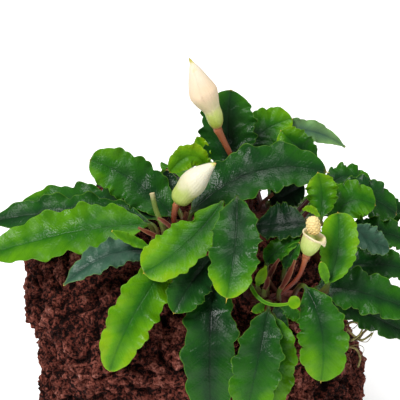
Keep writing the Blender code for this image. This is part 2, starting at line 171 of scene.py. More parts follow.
def smooth_step(low: float, high: float, value: np.ndarray) -> np.ndarray:
    """Rises smoothly from 0 at `low` to 1 at `high`."""
    share = np.clip((value - low) / (high - low), 0, 1)
    return share * share * (3 - 2 * share)


class Skin:
    """A closed mesh lofted over rings of points, with values stored at its points."""

    def __init__(self, name: str, rings: np.ndarray) -> None:
        """Makes the mesh.

        Args:
            name: the piece's name.
            rings: an array of rings, points and coordinates; every ring is a closed loop.
        """
        count, around = rings.shape[:2]
        self.shape = (count, around)
        low = np.arange(count - 1)[:, None] * around + np.arange(around)[None, :]
        turn = np.roll(low, -1, axis=1)
        walls = np.stack((low, turn, turn + around, low + around), axis=-1).reshape(-1, 4)
        faces = walls.tolist()
        faces.append(list(range(around))[::-1])
        faces.append(list(range((count - 1) * around, count * around)))
        self.data = bpy.data.meshes.new(name)
        self.data.from_pydata(rings.reshape(-1, 3).tolist(), [], faces)
        self.name = name

    def store(self, name: str, values: np.ndarray) -> None:
        """Stores a number or a vector at every point.

        Args:
            name: the attribute's name.
            values: an array over rings and points, with three parts at its end for a vector.
        """
        if values.ndim > 2:
            layer = self.data.attributes.new(name, "FLOAT_VECTOR", "POINT")
            layer.data.foreach_set("vector", values.astype(np.float32).ravel())
        else:
            layer = self.data.attributes.new(name, "FLOAT", "POINT")
            layer.data.foreach_set("value", values.astype(np.float32).ravel())

    def finish(self, material: bpy.types.Material, slot: Slot, *nodes: str) -> Object:
        """Places the piece, smooth and with its faces outwards.

        Args:
            material: what it is dressed in.
            slot: the record's slot for that finish.
            nodes: the CAD nodes that it stands for.

        Returns:
            The piece's object.
        """
        shape = bmesh.new()
        shape.from_mesh(self.data)
        bmesh.ops.recalc_face_normals(shape, faces=shape.faces)
        shape.to_mesh(self.data)
        shape.free()
        return place_piece(self.name, self.data, material, slot, *nodes)


def place_piece(
    name: str, data: bpy.types.Mesh, material: bpy.types.Material, slot: Slot, *nodes: str
) -> Object:
    """Puts a piece in the scene, where it rides with the object.

    Args:
        name: the piece's name.
        data: its mesh.
        material: what it is dressed in.
        slot: the record's slot for that finish; not used.
        nodes: the CAD nodes that it stands for.

    Returns:
        The piece's object.
    """
    data.shade_smooth()
    data.materials.append(material)
    piece = bpy.data.objects.new(name, data)
    bpy.context.scene.collection.objects.link(piece)
    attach(piece, "root")
    if nodes:
        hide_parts(*nodes)
    return piece


def rod(name: str, points: list[Vector], radii: list[float], sides: int) -> Skin:
    """Lofts a round rod along some points.

    Args:
        name: the piece's name.
        points: the rod's middle line.
        radii: its radius at each point.
        sides: how many points go around it.

    Returns:
        The rod's skin, with `rod_along` stored: 0 at its start and 1 at its end.
    """
    turn = np.arange(sides) / sides * FULL_TURN
    rings = []
    lean = Vector((0.31, -0.87, 0.38))
    for index, (point, radius) in enumerate(zip(points, radii)):
        ahead = points[min(index + 1, len(points) - 1)] - points[max(index - 1, 0)]
        side = ahead.cross(lean).normalized()
        lean = side.cross(ahead).normalized()
        around = np.cos(turn)[:, None] * np.array(side) + np.sin(turn)[:, None] * np.array(lean)
        rings.append(np.array(point) + around * radius)
    skin = Skin(name, np.array(rings))
    share = np.linspace(0, 1, len(points))[:, None] * np.ones((1, sides))
    skin.store("rod_along", share)
    return skin


class Graph:
    """A shader node tree that is built link by link."""

    def __init__(self, tree: bpy.types.NodeTree) -> None:
        """Works on this tree."""
        self.tree = tree

    def put(self, socket: Socket, value: object) -> None:
        """Links the value to the socket, or sets it there if it is a plain one."""
        if isinstance(value, bpy.types.NodeSocket):
            self.tree.links.new(value, socket)
        elif isinstance(value, tuple) and len(value) == 3 and socket.type == "RGBA":
            socket.default_value = (*value, 1)
        else:
            socket.default_value = value

    def node(self, kind: str, inputs: dict[str, object] | None = None, **settings: object) -> bpy.types.Node:
        """Adds a node.

        Args:
            kind: the node's type, without the word ShaderNode.
            inputs: what its named sockets hold or are linked to.
            settings: its other settings.

        Returns:
            The new node.
        """
        made = self.tree.nodes.new(f"ShaderNode{kind}")
        for name, value in settings.items():
            setattr(made, name, value)
        for name, value in (inputs or {}).items():
            self.put(made.inputs[name], value)
        return made

    def math(self, operation: str, *values: object, clamp: bool = False) -> Socket:
        """Combines up to three values with a math node.

        Args:
            operation: the node's operation.
            values: numbers or sockets.
            clamp: whether the result is held between 0 and 1.

        Returns:
            The result's socket.
        """
        made = self.node("Math", operation=operation, use_clamp=clamp)
        for socket, value in zip(made.inputs, values):
            self.put(socket, value)
        return made.outputs[0]

    def mix(self, share: object, first: object, second: object, blend: str = "MIX") -> Socket:
        """Mixes two colours.

        Args:
            share: how much of the second one there is.
            first: a colour or its socket.
            second: a colour or its socket.
            blend: the way they are mixed.

        Returns:
            The mixed colour's socket.
        """
        made = self.node("Mix", data_type="RGBA", blend_type=blend)
        colours = [socket for socket in made.inputs if socket.type == "RGBA"]
        self.put(made.inputs[0], share)
        self.put(colours[0], first)
        self.put(colours[1], second)
        return next(socket for socket in made.outputs if socket.type == "RGBA")

    def ramp(self, value: object, *stops: tuple[float, Colour]) -> Socket:
        """Turns a value into a colour.

        Args:
            value: the number's socket.
            stops: places on the ramp, each with its colour.

        Returns:
            The colour's socket.
        """
        made = self.node("ValToRGB", {"Fac": value})
        steps = made.color_ramp.elements
        while len(steps) < len(stops):
            steps.new(0.5)
        for step, (place, colour) in zip(steps, stops):
            step.position = place
            step.color = (*colour, 1)
        return made.outputs["Color"]

    def fade(self, value: object, low: object, high: object) -> Socket:
        """A value that rises smoothly from 0 at `low` to 1 at `high`."""
        inputs = {"Value": value, "From Min": low, "From Max": high}
        return self.node("MapRange", inputs, interpolation_type="SMOOTHSTEP").outputs[0]

    def attribute(self, name: str) -> bpy.types.Node:
        """The node that reads a value stored on the mesh."""
        return self.node("Attribute", attribute_name=name)

    def parts(self, name: str) -> list[Socket]:
        """The three parts of a vector that is stored on the mesh."""
        vector = self.attribute(name).outputs["Vector"]
        return list(self.node("SeparateXYZ", {"Vector": vector}).outputs)

    def object_place(self) -> Socket:
        """The place on the object in metres."""
        return self.node("TexCoord").outputs["Object"]

    def effect(self, group: bpy.types.NodeTree, inputs: dict[str, object]) -> bpy.types.NodeOutputs:
        """Places a node group.

        Args:
            group: the effect's node group.
            inputs: what its sockets hold or are linked to.

        Returns:
            The group's outputs.
        """
        made = self.node("Group", node_tree=group)
        for name, value in inputs.items():
            self.put(made.inputs[name], value)
        return made.outputs


class Effects:
    """The node groups that several finishes share."""

    def __init__(self) -> None:
        """Builds each group once."""
        self.mottle = self.make_mottle()
        self.grain = self.make_grain()
        self.veining = self.make_veining()

    @staticmethod
    def new_group(name: str, inputs: dict[str, float | None], outputs: tuple[str, ...]) -> tuple:
        """Starts a node group.

        Args:
            name: the group's name.
            inputs: each input with its number, or None for a vector.
            outputs: the names of the values that it puts out.

        Returns:
            The group's graph, its input node and its output node.
        """
        tree = bpy.data.node_groups.new(name, "ShaderNodeTree")
        for label, value in inputs.items():
            kind = "NodeSocketVector" if value is None else "NodeSocketFloat"
            socket = tree.interface.new_socket(name=label, in_out="INPUT", socket_type=kind)
            if value is not None:
                socket.default_value = value
        for label in outputs:
            tree.interface.new_socket(name=label, in_out="OUTPUT", socket_type="NodeSocketFloat")
        graph = Graph(tree)
        return graph, tree.nodes.new("NodeGroupInput"), tree.nodes.new("NodeGroupOutput")

    def make_mottle(self) -> bpy.types.NodeTree:
        """Soft cloudy variation.

        Returns:
            The group: Place and Scale in, a Value between Low and High out.
        """
        inputs = {"Place": None, "Scale": 100.0, "Detail": 3.0, "Low": 0.0, "High": 1.0}
        graph, given, out = self.new_group("mottle", inputs, ("Value",))
        clouds = graph.node(
            "TexNoise",
            {
                "Vector": given.outputs["Place"],
                "Scale": given.outputs["Scale"],
                "Detail": given.outputs["Detail"],
            },
        )
        spread = graph.node(
            "MapRange",
            {
                "Value": clouds.outputs[0],
                "From Min": 0.3,
                "From Max": 0.7,
                "To Min": given.outputs["Low"],
                "To Max": given.outputs["High"],
            },
        )
        graph.put(out.inputs["Value"], spread.outputs[0])
        return graph.tree

    def make_grain(self) -> bpy.types.NodeTree:
        """Crumbs with round pores of uneven size between them.

        Returns:
            The group: Place, Scale and Pores' size in, the crumbs' Height and the Pit mask out.
        """
        inputs = {"Place": None, "Scale": 500.0, "Pores": 0.6}
        graph, given, out = self.new_group("grain", inputs, ("Height", "Pit"))
        place, scale = given.outputs["Place"], given.outputs["Scale"]
        crumbs = graph.node(
            "TexNoise", {"Vector": place, "Scale": scale, "Detail": 5.0, "Roughness": 0.62}
        )
        shift = graph.node("VectorMath", operation="SCALE")
        graph.put(shift.inputs[0], crumbs.outputs["Color"])
        graph.put(shift.inputs["Scale"], graph.math("DIVIDE", 1.6, scale))
        moved = graph.node("VectorMath", operation="ADD")
        graph.put(moved.inputs[0], place)
        graph.put(moved.inputs[1], shift.outputs[0])
        cells = graph.node("TexVoronoi", {"Vector": moved.outputs[0], "Scale": scale})
        chance = graph.node("SeparateColor", {"Color": cells.outputs["Color"]}).outputs[0]
        radius = graph.math("MULTIPLY", chance, given.outputs["Pores"])
        inner = graph.math("MULTIPLY", radius, 0.45)
        pore = graph.math("SUBTRACT", 1.0, graph.fade(cells.outputs["Distance"], inner, radius))
        hollow = graph.math("SUBTRACT", 1.0, graph.fade(crumbs.outputs[0], 0.36, 0.52))
        pit = graph.math("MAXIMUM", pore, hollow)
        rough = graph.math("MULTIPLY", crumbs.outputs[0], 1.5)
        graph.put(out.inputs["Height"], graph.math("SUBTRACT", rough, pit))
        graph.put(out.inputs["Pit"], pit)
        return graph.tree

    def make_veining(self) -> bpy.types.NodeTree:
        """A leaf's midrib and the slanting veins that leave it.

        Returns:
            The group: Aside and Along in millimetres in; masks of the veins, the midrib and the
            deeper green beside it, and a Height in millimetres out.
        """
        inputs = {"Aside": 0.0, "Along": 0.0, "Spacing": 3.0, "Slant": 1.3}
        graph, given, out = self.new_group("veining", inputs, ("Vein", "Rib", "Band", "Height"))
        aside = graph.math("ABSOLUTE", given.outputs["Aside"])
        lean = graph.math("MULTIPLY", graph.math("POWER", aside, 0.8), given.outputs["Slant"])
        run = graph.math("SUBTRACT", given.outputs["Along"], lean)
        turns = graph.math("DIVIDE", run, given.outputs["Spacing"])
        wave = graph.math("COSINE", graph.math("MULTIPLY", turns, FULL_TURN))
        line = graph.fade(wave, 0.55, 1.0)
        beside = graph.math("MULTIPLY", graph.fade(aside, 0.2, 0.9), line)
        fine = graph.math("COSINE", graph.math("MULTIPLY", turns, FULL_TURN * 4))
        rib = graph.math("SUBTRACT", 1.0, graph.fade(aside, 0.1, 0.42))
        graph.put(out.inputs["Vein"], beside)
        graph.put(out.inputs["Rib"], rib)
        graph.put(out.inputs["Band"], graph.math("SUBTRACT", 1.0, graph.fade(aside, 0.2, 3.2)))
        fold = graph.math("MULTIPLY", beside, -0.03)
        ripple = graph.math("MULTIPLY", fine, 0.006)
        sunk = graph.math("MULTIPLY", rib, -0.08)
        graph.put(out.inputs["Height"], graph.math("ADD", graph.math("ADD", fold, ripple), sunk))
        return graph.tree


@dataclass(frozen=True)
class Finish:
    """A material's plain numbers."""

    slot: Slot
    roughness: float = 0.5
    coat: float = 0.0
    specular: float = 0.5

    def start(self, name: str) -> tuple[Graph, bpy.types.Node, bpy.types.Material]:
        """Starts the material.

        Args:
            name: the material's name.

        Returns:
            Its graph, its Principled shader and the material.
        """
        material = bpy.data.materials.new(name)
        material.use_nodes = True
        graph = Graph(material.node_tree)
        shader = material.node_tree.nodes["Principled BSDF"]
        shader.inputs["Roughness"].default_value = self.roughness
        shader.inputs["Coat Weight"].default_value = self.coat
        shader.inputs["Specular IOR Level"].default_value = self.specular
        return graph, shader, material

    @staticmethod
    def bump(graph: Graph, shader: bpy.types.Node, height: Socket, distance: float) -> None:
        """Raises the surface by a height, which `distance` turns into metres."""
        made = graph.node("Bump", {"Height": height, "Distance": distance, "Strength": 1.0})
        graph.put(shader.inputs["Normal"], made.outputs["Normal"])


@dataclass(frozen=True)
class LeafFinish(Finish):
    """A waxy leaf: its colours from the deepest to the freshest green; the deepest ones also serve as painted shade
    on leaves that lie in shadow.
    """

    colours: tuple[Colour, ...] = (
        (0.002, 0.011, 0.004),
        (0.006, 0.043, 0.007),
        (0.017, 0.105, 0.003),
        (0.085, 0.25, 0.002),
        (0.25, 0.4, 0.004),
    )
    pale: Colour = (0.13, 0.25, 0.03)
    rim: Colour = (0.18, 0.36, 0.03)
    hair: Colour = (0.6, 0.4, 0.06)
    vein_spacing_mm: float = 3.2
    band: float = 0.1

    def make(self, effects: Effects) -> bpy.types.Material:
        """Builds the material.

        Args:
            effects: the shared node groups.

        Returns:
            The material.
        """
        graph, shader, material = self.start(self.slot.value)
        aside, along, edge = graph.parts("leaf_place")
        stem, hair, under = graph.parts("leaf_kind")
        # The stored tone is the leaf's own green along it, and on leaves in shadow also painted shade.
        tone_and_shade = graph.attribute("leaf_fresh").outputs["Fac"]
        place = graph.object_place()
        veins = graph.effect(
            effects.veining, {"Aside": aside, "Along": along, "Spacing": self.vein_spacing_mm}
        )
        clouds = graph.effect(
            effects.mottle, {"Place": place, "Scale": 150.0, "Low": -0.08, "High": 0.08}
        )["Value"]
        tone = graph.math("ADD", tone_and_shade, clouds)
        tone = graph.math("ADD", tone, graph.math("MULTIPLY", under, 0.12))
        tone = graph.math("SUBTRACT", tone, graph.math("MULTIPLY", veins["Vein"], 0.02))
        tone = graph.math("SUBTRACT", tone, graph.math("MULTIPLY", veins["Rib"], 0.06))
        deep = graph.math("MULTIPLY", veins["Band"], self.band)
        tone = graph.math("SUBTRACT", tone, graph.math("MULTIPLY", deep, graph.math("SUBTRACT", 1.0, under)))
        places = [index / (len(self.colours) - 1) for index in range(len(self.colours))]
        colour = graph.ramp(tone, *zip(places, self.colours))
        rim = graph.math("SUBTRACT", 1.0, graph.fade(edge, 0.05, 0.3))
        colour = graph.mix(graph.math("MULTIPLY", rim, 0.3), colour, self.rim)
        colour = graph.mix(graph.math("MULTIPLY", under, 0.25), colour, self.pale)
        stalk = graph.ramp(
            graph.fade(along, -9.0, 1.5), (0.0, (0.06, 0.014, 0.01)), (0.5, (0.07, 0.04, 0.014)),
            (1.0, (0.06, 0.1, 0.012)),
        )
        colour = graph.mix(stem, colour, stalk)
        colour = graph.mix(hair, colour, self.hair)
        graph.put(shader.inputs["Base Color"], colour)
        film = graph.effect(
            effects.mottle, {"Place": place, "Scale": 120.0, "Low": -0.13, "High": 0.13}
        )["Value"]
        graph.put(shader.inputs["Roughness"], graph.math("ADD", film, self.roughness, clamp=True))
        skin = graph.effect(effects.mottle, {"Place": place, "Scale": 1500.0, "Detail": 2.0})["Value"]
        height = graph.math("ADD", veins["Height"], graph.math("MULTIPLY", skin, 0.06))
        blade = graph.math("SUBTRACT", 1.0, stem)
        self.bump(graph, shader, graph.math("MULTIPLY", height, blade), MM)
        return material


@dataclass(frozen=True)
class RodFinish(Finish):
    """A stem, a stalk or a root: colours from its foot to its end."""

    colours: tuple[Colour, ...] = ((0.12, 0.04, 0.02), (0.2, 0.08, 0.03))
    grain_scale: float = 700.0
    grain_mm: float = 0.12
    cloud_scale: float = 300.0
    # How far random mottling and painted shade in the grain's pits darken the colour.
    mottle_and_pit_depth: float = 0.5

    def make(self, effects: Effects) -> bpy.types.Material:
        """Builds the material.

        Args:
            effects: the shared node groups.

        Returns:
            The material.
        """
        graph, shader, material = self.start(self.slot.value)
        place = graph.object_place()
        along = graph.attribute("rod_along").outputs["Fac"]
        places = [index / (len(self.colours) - 1) for index in range(len(self.colours))]
        colour = graph.ramp(along, *zip(places, self.colours))
        clouds = graph.effect(effects.mottle, {"Place": place, "Scale": self.cloud_scale})["Value"]
        grain = graph.effect(effects.grain, {"Place": place, "Scale": self.grain_scale})
        # Random mottling plus painted shade in the grain's pits darken the colour toward a darker copy.
        shade = graph.math("MULTIPLY", graph.math("ADD", clouds, grain["Pit"]), self.mottle_and_pit_depth)
        dark = graph.mix(1.0, colour, (0.35, 0.3, 0.28), "MULTIPLY")
        graph.put(shader.inputs["Base Color"], graph.mix(shade, colour, dark))
        rough = graph.math("MULTIPLY_ADD", clouds, 0.15, self.roughness)
        graph.put(shader.inputs["Roughness"], rough)
        self.bump(graph, shader, grain["Height"], self.grain_mm * MM)
        return material


@dataclass(frozen=True)
class PetalFinish(Finish):
    """A soft petal: colours from its foot to its tip, and faint lines along it."""

    colours: tuple[tuple[float, Colour], ...] = ((0.0, (0.5, 0.6, 0.15)), (1.0, (0.9, 0.8, 0.6)))
    line_count: float = 26.0
    glow: float = 0.12

    def make(self, effects: Effects, name: str) -> bpy.types.Material:
        """Builds the material.

        Args:
            effects: the shared node groups.
            name: the material's name.

        Returns:
            The material.
        """
        graph, shader, material = self.start(name)
        along, turn, blush = graph.parts("petal_place")
        place = graph.object_place()
        clouds = graph.effect(
            effects.mottle, {"Place": place, "Scale": 350.0, "Low": -0.05, "High": 0.05}
        )["Value"]
        colour = graph.ramp(graph.math("ADD", along, clouds), *self.colours)
        colour = graph.mix(graph.math("MULTIPLY", blush, 0.35), colour, (0.93, 0.62, 0.42))
        lines = graph.math("COSINE", graph.math("MULTIPLY", turn, self.line_count * FULL_TURN))
        shade = graph.math("MULTIPLY", graph.fade(lines, 0.2, 1.0), 0.06)
        colour = graph.mix(shade, colour, (0.62, 0.62, 0.38))
        graph.put(shader.inputs["Base Color"], colour)
        shader.inputs["Subsurface Weight"].default_value = self.glow
        shader.inputs["Subsurface Scale"].default_value = 1.5 * MM
        shader.inputs["Subsurface Radius"].default_value = (1.0, 0.7, 0.4)
        rough = graph.effect(effects.mottle, {"Place": place, "Scale": 900.0, "Low": 0.0, "High": 0.12})
        graph.put(
            shader.inputs["Roughness"], graph.math("ADD", rough["Value"], self.roughness)
        )
        fine = graph.effect(effects.mottle, {"Place": place, "Scale": 1800.0, "Detail": 2.0})["Value"]
        height = graph.math("ADD", graph.math("MULTIPLY", lines, 0.012), graph.math("MULTIPLY", fine, 0.05))
        self.bump(graph, shader, height, MM)
        return material


@dataclass(frozen=True)
class StoneFinish(Finish):
    """Porous lava: pits darkened as painted shade, red-brown walls and paler crumbs whose raised tops carry a painted
    highlight.
    """

    # Painted shade: the near-black colour given to the insides of pores and hollows.
    pit: Colour = (0.014, 0.004, 0.003)
    wall: Colour = (0.17, 0.038, 0.025)
    crumb: Colour = (0.38, 0.115, 0.08)
    # A painted highlight: the palest colour, reached only on the raised tops of crumbs.
    crumb_highlight: Colour = (0.55, 0.27, 0.22)

    def make(self, effects: Effects) -> bpy.types.Material:
        """Builds the material.

        Args:
            effects: the shared node groups.

        Returns:
            The material.
        """
        graph, shader, material = self.start(self.slot.value)
        place = graph.object_place()
        high = graph.attribute("stone_high").outputs["Fac"]
        coarse = graph.effect(effects.grain, {"Place": place, "Scale": 600.0, "Pores": 0.62})
        fine = graph.effect(effects.grain, {"Place": place, "Scale": 1200.0, "Pores": 0.7})
        clouds = graph.effect(
            effects.mottle, {"Place": place, "Scale": 80.0, "Low": -0.17, "High": 0.13}
        )["Value"]
        specks = graph.effect(
            effects.mottle, {"Place": place, "Scale": 1600.0, "Low": -0.16, "High": 0.16}
        )["Value"]
        # Painted light and shade by height: the stored relief lightens raised crumbs toward the painted highlight and
        # darkens low ground, on top of random clouds and specks.
        tone = graph.math("ADD", graph.math("ADD", high, clouds), specks)
        # Painted shade: the pores and hollows of both grains darken the tone.
        tone = graph.math("SUBTRACT", tone, graph.math("MULTIPLY", coarse["Pit"], 0.38))
        tone = graph.math("SUBTRACT", tone, graph.math("MULTIPLY", fine["Pit"], 0.22))
        colour = graph.ramp(
            tone, (0.08, self.pit), (0.4, self.wall), (0.72, self.crumb), (1.0, self.crumb_highlight)
        )
        graph.put(shader.inputs["Base Color"], colour)
        height = graph.math("ADD", coarse["Height"], graph.math("MULTIPLY", fine["Height"], 0.45))
        self.bump(graph, shader, height, 1.1 * MM)
        return material


class Finishes:
    """Every material of the object, by slot."""

    def __init__(self) -> None:
        """Builds them all."""
        effects = Effects()
        self.stone = StoneFinish(Slot.STONE, roughness=0.9, specular=0.12).make(effects)
        grey = (
            (0.008, 0.026, 0.016), (0.018, 0.06, 0.034), (0.05, 0.12, 0.07), (0.14, 0.28, 0.09),
            (0.3, 0.45, 0.12),
        )
        brown = (
            (0.02, 0.004, 0.003), (0.06, 0.01, 0.006), (0.12, 0.026, 0.012), (0.22, 0.09, 0.035),
            (0.4, 0.24, 0.11),
        )
        leaves = (
            LeafFinish(Slot.LEAF_DARK, roughness=0.33, specular=0.15),
            LeafFinish(Slot.LEAF_BRIGHT, roughness=0.36, specular=0.13, vein_spacing_mm=3.6),
            LeafFinish(Slot.LEAF_GREY, roughness=0.45, specular=0.2, colours=grey, pale=(0.3, 0.38, 0.26)),
            LeafFinish(
                Slot.STEM, roughness=0.5, specular=0.12, colours=brown, pale=(0.2, 0.1, 0.05),
                rim=(0.3, 0.2, 0.12), hair=(0.12, 0.05, 0.03),
            ),
        )
        self.leaves = {finish.slot: finish.make(effects) for finish in leaves}
        self.stem = RodFinish(
            Slot.STEM, roughness=0.5, specular=0.2,
            colours=((0.05, 0.01, 0.007), (0.11, 0.02, 0.011), (0.14, 0.05, 0.016)),
        ).make(effects)
        self.olive_stem = RodFinish(
            Slot.LEAF_BRIGHT, roughness=0.45, grain_mm=0.03, mottle_and_pit_depth=0.2,
            colours=(
                (0.08, 0.03, 0.014), (0.12, 0.08, 0.02), (0.12, 0.17, 0.02), (0.15, 0.22, 0.03),
                (0.17, 0.25, 0.04), (0.6, 0.5, 0.28),
            ),
        ).make(effects)
        self.stalk = RodFinish(
            Slot.STALK, roughness=0.32, specular=0.35, grain_mm=0.03, mottle_and_pit_depth=0.15,
            colours=(
                (0.07, 0.012, 0.008), (0.13, 0.019, 0.008), (0.19, 0.035, 0.011), (0.36, 0.12, 0.045),
            ),
        ).make(effects)
        self.root = RodFinish(
            Slot.ROOT, roughness=0.7, colours=((0.3, 0.22, 0.07), (0.42, 0.4, 0.13)),
        ).make(effects)
        self.dark_root = RodFinish(
            Slot.ROOT, roughness=0.7, colours=((0.07, 0.035, 0.012), (0.2, 0.15, 0.05)),
        ).make(effects)
        self.peach = PetalFinish(
            Slot.SPATHE, roughness=0.42,
            colours=(
                (0.0, (0.45, 0.22, 0.09)), (0.1, (0.34, 0.42, 0.04)), (0.22, (0.46, 0.55, 0.12)),
                (0.34, (0.68, 0.62, 0.34)), (0.5, (0.76, 0.6, 0.4)), (0.74, (0.77, 0.69, 0.54)),
                (0.82, (0.6, 0.54, 0.1)), (1.0, (0.3, 0.26, 0.02)),
            ),
        ).make(effects, "spathe_peach")
        self.white = PetalFinish(
            Slot.SPATHE, roughness=0.42,
            colours=(
                (0.0, (0.4, 0.32, 0.1)), (0.08, (0.32, 0.42, 0.06)), (0.22, (0.42, 0.5, 0.12)),
                (0.34, (0.62, 0.6, 0.36)), (0.5, (0.71, 0.67, 0.52)), (0.86, (0.71, 0.68, 0.52)),
                (0.95, (0.55, 0.58, 0.14)), (1.0, (0.7, 0.45, 0.16)),
            ),
        ).make(effects, "spathe_white")
        self.kettle = PetalFinish(
            Slot.KETTLE, roughness=0.4,
            colours=(
                (0.0, (0.38, 0.22, 0.1)), (0.12, (0.34, 0.42, 0.08)), (0.5, (0.42, 0.53, 0.13)),
                (0.86, (0.56, 0.6, 0.2)), (0.94, (0.74, 0.62, 0.33)), (1.0, (0.78, 0.66, 0.42)),
            ),
        ).make(effects, "kettle")
        self.spadix = PetalFinish(
            Slot.SPADIX, roughness=0.55, line_count=0.0,
            colours=((0.0, (0.7, 0.48, 0.14)), (1.0, (0.78, 0.62, 0.28))),
        ).make(effects, "spadix")


def surface_tree(node: str) -> BVHTree:
    """A search tree over a CAD node's surface."""
    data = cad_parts[node].data
    faces = [tuple(face.vertices) for face in data.polygons]
    return BVHTree.FromPolygons([vertex.co for vertex in data.vertices], faces)


class Ground:
    """The surface that stems start from: the stone and the rhizomes on it."""

    TOP = 0.2
    TRIES = 12

    def __init__(self, trees: list[BVHTree]) -> None:
        """Counts these surfaces in."""
        self.trees = trees

    def top(self, x: float, y: float) -> Vector:
        """The highest point of the surface over this place."""
        start = Vector((x, y, self.TOP))
        hits = (tree.ray_cast(start, Vector((0, 0, -1)))[0] for tree in self.trees)
        return max((hit for hit in hits if hit), key=lambda hit: hit.z)

    def lifted(self, point: Vector, room: float) -> Vector:
        """Moves a point out until nothing of the surface is nearer to it than `room`.

        Args:
            point: where it starts.
            room: the space that it needs.

        Returns:
            The moved point.
        """
        point = point + Vector((0, 0, room / 2))
        for _ in range(self.TRIES):
            for tree in self.trees:
                near, _, _, distance = tree.find_nearest(point)
                if distance < room:
                    point += (point - near).normalized() * (room - distance)
        return point


@dataclass
class Stone:
    """The lump of lava that all of it grows on."""

    material: bpy.types.Material
    middle_mm: float = 34
    above_mm: float = 34.5
    below_mm: float = 44
    front_mm: float = 41
    back_mm: float = 39
    squareness: float = 2.6
    cuts: int = 12
    levels: int = 3
    lump_mm: float = 15
    knob_mm: float = 6
    pit_spacing_mm: float = 11

    LEFT_REACH = ((0, 47), (12, 46.5), (25, 45.4), (31, 46.6), (40, 48.2), (48, 53), (56, 56), (74, 57))
    RIGHT_REACH = (
        (0, 53), (12, 52.6), (15, 51.6), (20, 48.5), (26, 45.6), (30, 42.5), (45, 41), (60, 42), (74, 45),
    )
    HUMP = (-30, 20, 12, 4.5)
    KNOB_SHIFT = Vector((7, 3, 5))
    PIT_SHARE = 0.32
    CRACK_SPACING_MM = 12
    CRACK_SHARE = 0.07
    CRACK_MM = 2.2

    def base_point(self, direction: Vector) -> Vector:
        """Finds the smooth form's surface.

        Args:
            direction: a unit vector from the stone's middle.

        Returns:
            The surface point in millimetres.
        """
        size = sum(abs(part) ** self.squareness for part in direction) ** (-1 / self.squareness)
        unit = direction * size
        height = self.middle_mm + unit.z * (self.above_mm if unit.z > 0 else self.below_mm)
        table = self.RIGHT_REACH if unit.x > 0 else self.LEFT_REACH
        across = float(np.interp(max(height, 0), *zip(*table)))
        depth = self.back_mm if unit.y > 0 else self.front_mm
        return Vector((unit.x * across, unit.y * depth, height))

    def coarse_relief(self, point: Vector) -> float:
        """How far, in millimetres, the big lumps and hollows stand out at this point."""
        lumps = noise.noise(point / self.lump_mm) * 6.0
        knobs = noise.noise(point / self.knob_mm + self.KNOB_SHIFT) * 2.8
        nearest = noise.voronoi(point / self.pit_spacing_mm)[0][0]
        return lumps + knobs - 3.0 * max(0, 1 - nearest / self.PIT_SHARE)

    def fine_relief(self, point: Vector) -> float:
        """How far, in millimetres, the crumbs and bubbles stand out at this point."""
        place = point + noise.noise_vector(point / 5) * 1.6
        crumbs = abs(noise.noise(place / 4.6)) * 3.0 - 0.7
        bits = abs(noise.noise(place / 2.1 + self.KNOB_SHIFT)) * 1.6 - 0.35
        grit = noise.noise(place / 1.05) * 0.5
        bubble = noise.voronoi(place / 5.2)[0][0]
        hole = noise.voronoi(point / 2.6 + self.KNOB_SHIFT)[0][0]
        pits = 2.6 * max(0, 1 - bubble / 0.36) + 1.3 * max(0, 1 - hole / 0.34)
        crack = abs(noise.noise(place / self.CRACK_SPACING_MM))
        cracks = self.CRACK_MM * max(0, 1 - crack / self.CRACK_SHARE)
        return crumbs + bits + grit - pits - cracks

    def build(self) -> None:
        """Makes the stone's piece in place of its node."""
        shape = bmesh.new()
        bmesh.ops.create_cube(shape, size=2)
        bmesh.ops.subdivide_edges(shape, edges=shape.edges, cuts=self.cuts, use_grid_fill=True)
        hump_x, hump_y, spread, height = self.HUMP
        for vertex in shape.verts:
            direction = Vector(math.tan(part * math.pi / 4) for part in vertex.co).normalized()
            point = self.base_point(direction)
            moved = point + direction * self.coarse_relief(point)
            if direction.z > 0:
                offset = Vector((hump_x, hump_y)) - point.xy
                moved.z += height * math.exp(-offset.length_squared / (2 * spread**2))
            moved.z = max(moved.z, 0)
            vertex.co = moved
        bmesh.ops.recalc_face_normals(shape, faces=shape.faces)
        data = bpy.data.meshes.new("stone_form")
        shape.to_mesh(data)
        shape.free()
        form = bpy.data.objects.new("stone_form", data)
        bpy.context.scene.collection.objects.link(form)
        smooth = form.modifiers.new("round", "SUBSURF")
        smooth.levels = smooth.render_levels = self.levels
        graph = bpy.context.evaluated_depsgraph_get()
        fine = bpy.data.meshes.new_from_object(form.evaluated_get(graph))
        bpy.data.objects.remove(form)
        self.roughen(fine)
        place_piece("lava_stone", fine, self.material, Slot.STONE, "stone")

    def roughen(self, data: bpy.types.Mesh) -> None:
        """Gives the smooth form its crumbs and pits.

        Args:
            data: the mesh, in millimetres, which ends in metres.
        """
        normals = [vertex.normal.copy() for vertex in data.vertices]
        high = np.zeros(len(data.vertices), np.float32)
        for index, vertex in enumerate(data.vertices):
            rise = self.fine_relief(vertex.co)
            # The finish reads this height to paint raised crumbs lighter and hollows darker, as painted light and
            # shade.
            high[index] = 0.56 + rise * 0.2
            flat = max(0.0, min(1.0, vertex.co.z / 1.5))
            moved = vertex.co + normals[index] * rise * flat
            moved.z = max(moved.z, 0)
            vertex.co = moved * MM
        layer = data.attributes.new("stone_high", "FLOAT", "POINT")
        layer.data.foreach_set("value", high)


